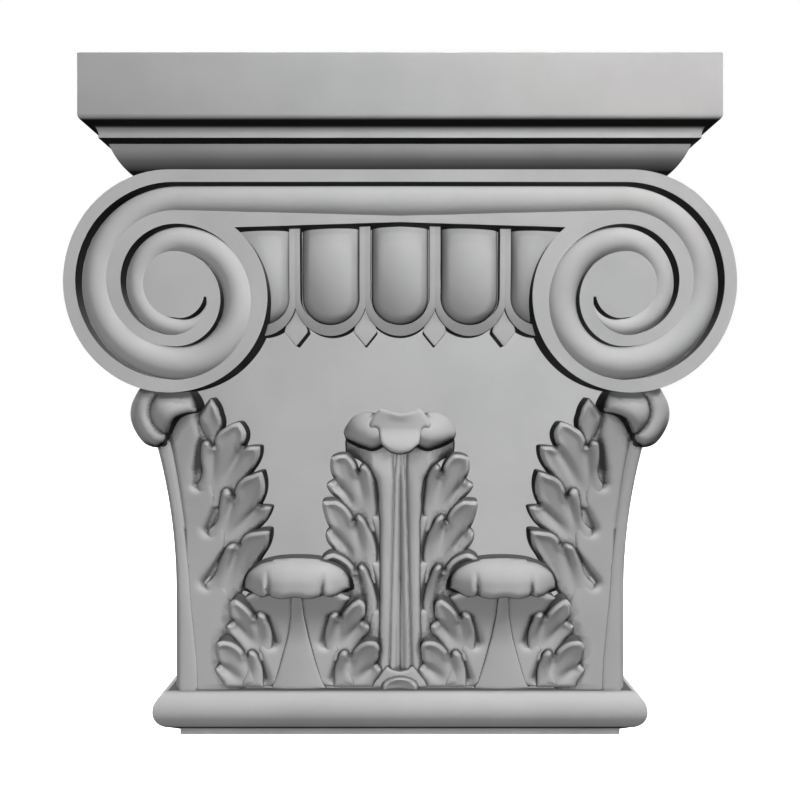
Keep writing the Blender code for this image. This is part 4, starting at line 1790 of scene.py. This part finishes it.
@dataclass
class TallLeaf:
    """The tall middle leaf: two lobed halves, a stem with a midrib, a knob at its foot and a tip curled over.

    The petal and the fan are given by their right halves. The head turns aside, and its underside is tucked
    in, each from a place across and up and by a slope. Depths in a row are a form's depth at its middle and
    how fast it falls back.
    """

    block: Block
    lobes: tuple[Lobe, ...] = (
        Lobe((
            (10.3, 105.2), (11.7, 119, 0.1), (16.2, 126.6, 0.2), (19.1, 122.6, 0.1), (24, 131, 0.1),
            (31.5, 129.5, 0.1), (30.3, 119.3), (34, 116.9, 0.1), (28.7, 110), (20, 94), (11, 94),
        ), (14, 96), (15, 128)),
        Lobe((
            (10.3, 83.6, 0.05), (14.6, 98, 0.12), (19.1, 103.6, 0.2), (20.9, 99.7, 0.12), (28.7, 110, 0.04),
            (35.6, 109.4, 0.05), (32.4, 96.5, 0.1), (34.4, 93.7, 0.1), (31.5, 87.3), (24, 72), (11, 70),
        ), (14, 73), (15, 101)),
        Lobe((
            (10.3, 61.6, 0.02), (14, 76, 0.12), (17.7, 80.6, 0.2), (20, 77.2, 0.12), (30.5, 86.1, 0.08),
            (36, 83), (36, 60), (22, 42), (11, 40),
        ), (14, 48), (14.5, 78)),
    )
    body: Template = (
        (-1, 23.2), (17, 23.2), (17, 42), (15, 62), (17, 86), (17.5, 106), (12.5, 122), (11, 134),
        (-1, 138),
    )
    lift: float = 3.0
    lean: float = 6.0
    stem_edge: Template = (
        (12.5, 23.2), (11.7, 27), (9.6, 64), (9.4, 100), (10.2, 106), (10, 112), (10.9, 118), (13.2, 122.5),
        (18.6, 127.6), (25.4, 130.4), (25.6, 137), (21, 142),
    )
    stem_proud: Point = (1.6, 3.4)
    stem_rise: Point = (30.0, 100.0)
    stem_steps: Rows = (0.03, 0.12, 0.28, 0.5, 0.75, 1.0)
    band_middle: float = 7.0
    band_round: float = 0.09
    head_start: float = 118.0
    head_run: float = 12.0
    midrib_heights: Rows = (27.0, 35.0, 130.0)
    midrib_widths: Rows = (5.6, 5.0, 2.4)
    midrib_groove: Point = (1.1, 0.8)
    midrib_crest: float = 0.9
    aside: Place = (12.0, 122.0, 0.03)
    tuck: Place = (12.5, 138.0, 0.06)
    aside_run: float = 8.0
    tuck_reach: float = 9.0
    roll: Template = (
        (3, 137), (7.8, 135.6, 0.05), (11.9, 133.3, 0.1), (15.5, 134.2, 0.05), (20.5, 136.2, 0.03),
        (24.8, 138, 0.05), (25.9, 141, 0.05), (22.8, 146.5, 0.06), (19.1, 149, 0.05), (15.5, 150.1, 0.04),
        (11, 149.6), (3, 149),
    )
    roll_middle: Point = (10.0, 140.5)
    roll_depths: Place = (7.0, 0.05, 0.08)
    petal: Template = (
        (0, 131.9, 0.03), (4.3, 132.8, 0.04), (7, 135.1, 0.03), (8.3, 136.4, 0.02), (9.2, 139.6, 0),
        (9.6, 142.2, 0), (10.6, 143.4, -0.05), (13.2, 143, 0.02), (13.7, 144.5, 0.05), (12.3, 147.6, 0.03),
        (9.2, 151.7, 0.1), (7.2, 151.6, -0.03), (0, 149.7, 0),
    )
    petal_depth: float = 2.6
    petal_round: float = 10.0
    petal_rise: Place = (3.0, 134.5, 9.0)
    petal_lip: tuple[float, ...] = (1.5, 5.0, 145.0, 6.0)
    roll_back: float = 30.0
    petal_back: float = 20.0
    roll_hang: Place = (141.0, 5.0, 3.2)
    petal_hang: Place = (142.0, 6.0, 1.1)
    fan: Template = (
        (13.2, 23), (11.9, 26.2, 0.05), (9.6, 29.4, 0.05), (7.4, 31.7, 0.05), (6, 33.2, 0.1), (4, 31.6),
        (0, 30.6),
    )
    fan_depths: Point = (24.6, 0.008)
    bead_radii: Point = (8.6, 5.3)
    bead_foot: Point = (22.8, 23.6)
    bead_depths: Point = (24.3, 2.2)
    bead_ring: Place = (6.1, 0.8, 0.2)

    def half(self) -> HalfLeaf:
        """One half of the leaf."""
        return HalfLeaf(self.block, self.lobes, self.body, lift=self.lift, lean=self.lean)

    def stem(self, leaf: HalfLeaf) -> Form:
        """Make the stem: two round bands with the midrib between them, which widen into the leaf's head.

        Args:
            leaf: The half leaf beside it.

        Returns:
            The stem as one closed shell.
        """
        low, high = self.stem_proud
        rise, rise_run = self.stem_rise
        groove_depth, groove_width = self.midrib_groove
        aside_x, aside_z, aside_slope = self.aside
        tuck_x, tuck_z, tuck_slope = self.tuck

        def front(x: np.ndarray, z: np.ndarray) -> np.ndarray:
            """Work out the stem's depth.

            Args:
                x: The points' places across.
                z: Their heights.

            Returns:
                The depth at each point.
            """
            proud = low + (high - low) * ease((z - rise) / rise_run)
            width = np.interp(z, self.midrib_heights, self.midrib_widths)
            away = np.abs(x)
            groove = groove_depth * bump(away - width, groove_width)
            crest = self.midrib_crest * np.clip(1.0 - (x / width) ** 2, 0.0, None)
            spread = 1.0 + ease((z - self.head_start) / self.head_run)
            band = self.band_round * ((away - self.band_middle * spread) / spread) ** 2
            aside = aside_slope * np.clip(away - aside_x, 0.0, None) ** 2
            aside = aside * ease((z - aside_z) / self.aside_run)
            tuck = tuck_slope * np.clip(tuck_z - z, 0.0, self.tuck_reach)
            tuck = tuck * np.clip(away - tuck_x, 0.0, self.tuck_reach)
            return leaf.level(z) - proud + groove - crest + band + aside + tuck

        outline = Outline.drawn(mirrored(self.stem_edge), spacing=0.7, rounding=3)
        relief = Relief(outline, front, self.block.bed_depth, rim=2.6, grain=0.6, steps=self.stem_steps)
        return relief.build(Form(self.block))

    def _roll_front(self, x: np.ndarray, z: np.ndarray) -> np.ndarray:
        """Depth of the curled tip's roll."""
        depth, across, up = self.roll_depths
        return depth + across * (x - self.roll_middle[0]) ** 2 + up * (z - self.roll_middle[1]) ** 2

    def _petal_front(self, x: np.ndarray, z: np.ndarray) -> np.ndarray:
        """Work out the depth of the curled tip's petal, with a lip between its ears.

        Args:
            x: The points' places across.
            z: Their heights.

        Returns:
            The depth at each point.
        """
        lip, lip_width, lip_z, lip_run = self.petal_lip
        rise, rise_z, rise_run = self.petal_rise
        lip = lip * bump(x, lip_width) * ease((z - lip_z) / lip_run)
        return self.petal_depth + (x / self.petal_round) ** 2 + rise * ease((z - rise_z) / rise_run) - lip

    def curl(self) -> Form:
        """Make the curled tip: a roll to each side and a petal with two ears over the middle.

        Returns:
            The three closed shells.
        """
        roll = Outline.drawn(self.roll, spacing=0.5, rounding=3)
        rolled = Relief(roll, self._roll_front, self.roll_back, rim=4.4, grain=0.8,
                        flare=hanging(*self.roll_hang), steps=ROUND_RIM)
        form = rolled.build(Form(self.block)).both()
        swells = [swell for _, _, swell in self.petal[-3::-1]]
        left = [(-x, z, swell) for (x, z, _), swell in zip(self.petal[-2:0:-1], swells)]
        petal = Outline.drawn([*self.petal, *left], spacing=0.45)
        relief = Relief(petal, self._petal_front, self.petal_back, rim=1.6, grain=0.6,
                        flare=hanging(*self.petal_hang))
        return relief.build(form)

    def _fan_front(self, x: np.ndarray, z: np.ndarray) -> np.ndarray:
        """Depth of the fan."""
        return self.fan_depths[0] + self.fan_depths[1] * x**2

    def _bead_front(self, x: np.ndarray, z: np.ndarray) -> np.ndarray:
        """Work out the depth of the bead, with a raised ring round its dished middle.

        Args:
            x: The points' places across.
            z: Their heights.

        Returns:
            The depth at each point.
        """
        height, share, width = self.bead_ring
        reach = np.hypot(x / self.bead_radii[0], (z - self.bead_foot[0]) / height) / share
        ring = np.where(reach < 1.0, reach**2, bump(reach - 1.0, width))
        return self.bead_depths[0] - self.bead_depths[1] * ring

    def knob(self) -> Form:
        """Make the small fan and bead at the stem's foot.

        Returns:
            The two closed shells.
        """
        back = self.block.bed_depth
        fan = Outline.drawn(mirrored(self.fan), spacing=0.5)
        form = Relief(fan, self._fan_front, back, rim=1.3, grain=0.8).build(Form(self.block))
        (across, up), (foot, middle) = self.bead_radii, self.bead_foot
        arc = [(across * math.cos(a), middle + up * math.sin(a)) for a in np.radians(np.linspace(0, 180, 19))]
        bead = Outline.drawn([(across, foot), *arc, (-across, foot)], spacing=0.5, rounding=1)
        return Relief(bead, self._bead_front, back, grain=0.5).build(form)

    def build(self, shop: Workshop) -> None:
        """Make the leaf and dress it.

        Args:
            shop: The workshop that makes it.
        """
        leaf = self.half()
        form = leaf.build().both().join(self.stem(leaf), self.knob())
        shop.piece("tall_leaf", form, Grime(hollow=0.8, film=0.02))
        shop.piece("tall_leaf_curl", self.curl(), Grime(hollow=0.3))


@dataclass
class LowLeaf:
    """A low leaf: two lobed halves, a flared stem, and a hood that curls over to the front.

    The roll falls back to the sides and over the top, from its flat middle and from its crown. A crease has
    a depth and a half width, and the lip outside it a height, a half width and a distance. Bends, fades and
    rises start somewhere and take some stretch. The lower lip hangs in scallops between the creases and in
    the wings outside them.
    """

    block: Block
    place: float = 46.8
    lobes: tuple[Lobe, ...] = (
        Lobe((
            (11.9, 44, 0.05), (13.6, 55, 0.15), (16.5, 59.2, 0.25), (19.4, 56.3, 0.08), (28, 65.4, 0.2),
            (31.2, 60, 0.1), (29.8, 54.2), (32.9, 52.4, 0.15), (30.6, 46.3), (24, 36), (13, 34),
        ), (15, 36), (14.2, 56)),
        Lobe((
            (16.2, 27, 0.05), (17.8, 36.5, 0.15), (20.9, 41.2, 0.2), (23.9, 38.2, 0.1), (30, 45.2, 0.1),
            (36, 45.6, 0.15), (37.3, 40, 0.05), (36.2, 34), (38.4, 32, 0.1), (35.2, 26), (34.3, 23),
            (16, 23),
        ), (21, 21), (18.5, 38)),
    )
    body: Template = (
        (-1, 23), (28, 23), (23, 36), (17, 46), (18, 55), (24.4, 65.6), (19, 68.5), (-1, 73),
    )
    lift: float = 5.5
    tip_depth: float = 18.5
    lean_start: float = 42.0
    lean: float = 9.5
    lean_run: float = 26.0
    lean_stop: float = 1.05
    stem_heights: Rows = (22.8, 26.0, 36.0, 47.0, 57.0, 66.0, 72.0)
    stem_widths: Rows = (12.8, 11.0, 7.8, 4.8, 3.0, 2.4, 2.2)
    stem_proud: float = 2.0
    stem_round: float = 0.012
    hood_half_width: float = 26.4
    hood_foot: float = 65.5
    hood_height: float = 18.8
    hood_back: float = 29.0
    roll_half_width: float = 24.5
    roll_foot: float = 68.0
    roll_height: float = 16.1
    roll_lip: float = 1.4
    roll_power: float = 2.5
    roll_depth: float = 6.4
    roll_flat: float = 3.0
    roll_falls: Point = (17.0, 6.5)
    roll_crown: Point = (73.5, 10.5)
    creases: float = 12.0
    crease: Point = (2.0, 0.9)
    crease_lip: Place = (0.7, 1.6, 2.4)
    crease_bend: Place = (0.9, 68.0, 12.0)
    crease_fade: Point = (70.0, 11.0)
    lip_heights: Point = (67.6, 68.1)
    lip_scallops: Point = (0.9, 1.1)
    wing: float = 8.0
    wing_rise: Place = (19.0, 1.6, 5.0)

    def half(self) -> HalfLeaf:
        """One half of the leaf."""
        return HalfLeaf(self.block, self.lobes, self.body, self.lift, self.tip_depth, lean=self.lean,
                        lean_start=self.lean_start, lean_run=self.lean_run, lean_stop=self.lean_stop)

    def stem(self, leaf: HalfLeaf) -> Form:
        """Make the stem, which flares like a trumpet toward its foot.

        Args:
            leaf: The half leaf beside it.

        Returns:
            The stem as one closed shell.
        """
        def front(x: np.ndarray, z: np.ndarray) -> np.ndarray:
            """The stem's depth."""
            return leaf.level(z) - self.stem_proud + self.stem_round * x**2

        outline = Outline.drawn(mirrored(tuple(zip(self.stem_widths, self.stem_heights))))
        return Relief(outline, front, self.block.bed_depth, rim=1.0, grain=0.8).build(Form(self.block))

    def _lip(self, x: np.ndarray) -> np.ndarray:
        """Work out the height of the roll's scalloped lower lip.

        Args:
            x: Places across.

        Returns:
            The lip's height at each.
        """
        away = np.abs(x)
        scallops = (np.sin(np.pi * np.clip(away / self.creases, 0.0, 1.0)) ** 2,
                    np.sin(np.pi * np.clip((away - self.creases) / self.wing, 0.0, 1.0)))
        middle, wing = (height - drop * scallop
                        for height, drop, scallop in zip(self.lip_heights, self.lip_scallops, scallops))
        start, rise, run = self.wing_rise
        wing = wing + rise * np.clip((away - start) / run, 0.0, None)
        return np.where(away < self.creases, middle, wing)

    def _roll_outline(self) -> Outline:
        """Draw the roll: a squarish arch over the scalloped lip.

        Returns:
            The outline.
        """
        sweep = np.linspace(0.0, np.pi, 60)
        power = 2.0 / self.roll_power
        across = self.roll_half_width * np.sign(np.cos(sweep)) * np.abs(np.cos(sweep)) ** power
        up = self.roll_foot + self.roll_lip + (self.roll_height - self.roll_lip) * np.sin(sweep) ** power
        lip = np.linspace(-self.roll_half_width, self.roll_half_width, 80)[1:-1]
        points = np.vstack([np.column_stack([across, up]), np.column_stack([lip, self._lip(lip)])])
        return Outline.drawn(points, spacing=0.5, rounding=3)

    def _roll_front(self, x: np.ndarray, z: np.ndarray) -> np.ndarray:
        """Work out the depth of the roll with its two creases.

        Args:
            x: The points' places across.
            z: Their heights.

        Returns:
            The depth at each point.
        """
        aside, over = self.roll_falls
        crown, crown_run = self.roll_crown
        bend, bend_foot, bend_run = self.crease_bend
        fade, fade_run = self.crease_fade
        cut, cut_width = self.crease
        lip, lip_width, lip_place = self.crease_lip
        away = np.clip(np.abs(x) - self.roll_flat, 0.0, None)
        depth = self.roll_depth + aside * away**2 / self.roll_half_width**2
        depth = depth + over * np.clip((z - crown) / crown_run, 0.0, None) ** 2
        strength = 1.0 - ease((z - fade) / fade_run)
        for hand in (-1.0, 1.0):
            line = hand * (self.creases + bend * np.clip((z - bend_foot) / bend_run, 0.0, 1.0) ** 2)
            depth = depth + cut * strength * bump(x - line, cut_width)
            depth = depth - lip * strength * bump(x - line - hand * lip_place, lip_width)
        return depth

    def _roof(self, edge: np.ndarray) -> np.ndarray:
        """Find the hood's outline at the back.

        Args:
            edge: The roll's outline.

        Returns:
            The place of each of its points at the back.
        """
        share = (edge[:, 1] - self.roll_foot) / self.roll_height
        x = edge[:, 0] * self.hood_half_width / self.roll_half_width
        return np.column_stack([x, self.hood_foot + self.hood_height * np.clip(share, 0.0, None)])

    def hood(self) -> Form:
        """Make the hood: a roof that runs back to the leaf, and a roll with two creases along its front.

        Returns:
            The hood as one closed shell.
        """
        outline = self._roll_outline()
        relief = Relief(outline, self._roll_front, self.hood_back, rim=3.6, grain=0.8,
                        flare=self._roof, steps=ROUND_RIM)
        return relief.build(Form(self.block))

    def build(self, shop: Workshop) -> None:
        """Make both low leaves and dress them.

        Args:
            shop: The workshop that makes them.
        """
        leaf = self.half()
        whole = leaf.build().both().join(self.stem(leaf), self.hood())
        for side in Side:
            shop.piece(f"low_leaf_{side.word}", whole.moved(side, self.place), Grime(hollow=0.7, film=0.06))


@dataclass(frozen=True)
class Lamp:
    """A small lamp that shines as bright on the far side as on the near one.

    Attributes:
        name: The lamp's name.
        place: Where it hangs, as across, depth and up in millimetres.
        strength: Its strength.
        shadows: Whether it casts shadows.
    """

    name: str
    place: Place
    strength: float
    shadows: bool = False


@dataclass
class Studio:
    """The pale floor, the lights and the camera, with the lamps' and the floor's sizes in metres."""

    block: Block
    lens: float = 50.0
    sensor: float = 36.0
    camera_distance: float = 486.2
    camera_height: float = 155.7
    near_clip: float = 0.01
    lamps: tuple[Lamp, ...] = (
        Lamp("key_light", (193.0, -157.0, 468.0), 47.5),
        Lamp("front_light", (-620.0, -2000.0, -80.0), 18.5),
        Lamp("left_rear_light", (-900.0, 900.0, 700.0), 30.0, True),
        Lamp("right_rear_light", (900.0, 900.0, 700.0), 30.0, True),
    )
    lamp_size: float = 0.03
    fill_strength: float = 0.02
    floor_size: float = 8.0
    floor_shade: float = 0.9

    def camera(self) -> None:
        """Stand the camera straight in front of the capital."""
        data = bpy.data.cameras.new("camera")
        data.lens = self.lens
        data.sensor_width = self.sensor
        data.clip_start = self.near_clip
        camera = shown("camera", data)
        camera.location = self.block.place(0.0, -self.camera_distance, self.camera_height)
        camera.rotation_euler = (math.radians(90.0), 0.0, 0.0)
        bpy.context.scene.camera = camera

    def hang(self, lamp: Lamp) -> None:
        """Hang a lamp.

        Args:
            lamp: The lamp.
        """
        data = bpy.data.lights.new(lamp.name, "POINT")
        data.shadow_soft_size = self.lamp_size
        data.energy = lamp.strength
        data.use_shadow = lamp.shadows
        data.use_nodes = True
        nodes = Nodes(data.node_tree)
        falloff = nodes.add("ShaderNodeLightFalloff", {"Strength": 1.0})
        glow = next(node for node in nodes.tree.nodes if node.bl_idname == "ShaderNodeEmission")
        nodes.feed(glow, {"Strength": falloff.outputs["Constant"]})
        light = shown(lamp.name, data)
        light.location = self.block.place(*lamp.place)
        light.visible_camera = False
        light.visible_glossy = False

    def floor(self) -> None:
        """Lay the pale floor."""
        bm = bmesh.new()
        bmesh.ops.create_grid(bm, x_segments=1, y_segments=1, size=self.floor_size)
        mesh = bpy.data.meshes.new("floor")
        bm.to_mesh(mesh)
        bm.free()
        material = bpy.data.materials.new("pale_floor")
        material.use_nodes = True
        nodes = Nodes(material.node_tree)
        nodes.feed(nodes.tree.nodes["Principled BSDF"], {
            "Base Color": (*(self.floor_shade,) * 3, 1.0), "Roughness": 0.9,
            "Emission Color": WHITE, "Emission Strength": self.floor_shade,
        })
        mesh.materials.append(material)
        floor = shown("floor", mesh)
        floor.visible_diffuse = False
        floor.visible_glossy = False
        floor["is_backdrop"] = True

    def backdrop(self) -> None:
        """Surround the capital with white, and give it only a little of that light."""
        world = bpy.data.worlds.new("backdrop")
        bpy.context.scene.world = world
        world.use_nodes = True
        nodes = Nodes(world.node_tree)
        nodes.tree.nodes.clear()
        path = nodes.add("ShaderNodeLightPath")
        seen = nodes.add("ShaderNodeBackground", {"Color": WHITE})
        fill = nodes.add("ShaderNodeBackground", {"Color": WHITE, "Strength": self.fill_strength})
        mix = nodes.add("ShaderNodeMixShader", {
            0: path.outputs["Is Camera Ray"], 1: fill.outputs[0], 2: seen.outputs[0],
        })
        nodes.add("ShaderNodeOutputWorld", {0: mix.outputs[0]})

    def build(self) -> None:
        """Set the whole stage."""
        self.camera()
        for lamp in self.lamps:
            self.hang(lamp)
        self.floor()
        self.backdrop()
        bpy.context.scene.view_settings.view_transform = "Standard"


def corners(box: tuple[Vector, Vector]) -> list[list[float]]:
    """A box's two corners as plain lists."""
    return [list(corner) for corner in box]


def main() -> None:
    """Build the capital round its solid and set it on the stage."""
    logging.basicConfig(level=logging.INFO, format="%(name)s: %(message)s")
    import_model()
    solid_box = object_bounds()
    block = Block.from_box(*solid_box)
    shop = Workshop(block, StoneFinish().material())
    for assembly in (Stack, Scroll, EggRow, CornerLeaf, TallLeaf, LowLeaf):
        assembly(block).build(shop)
    # Paint shade into the pieces' colour on their walls, undersides and hollows.
    shop.settle_dust()
    Studio(block).build()


if __name__ == "__main__":
    main()
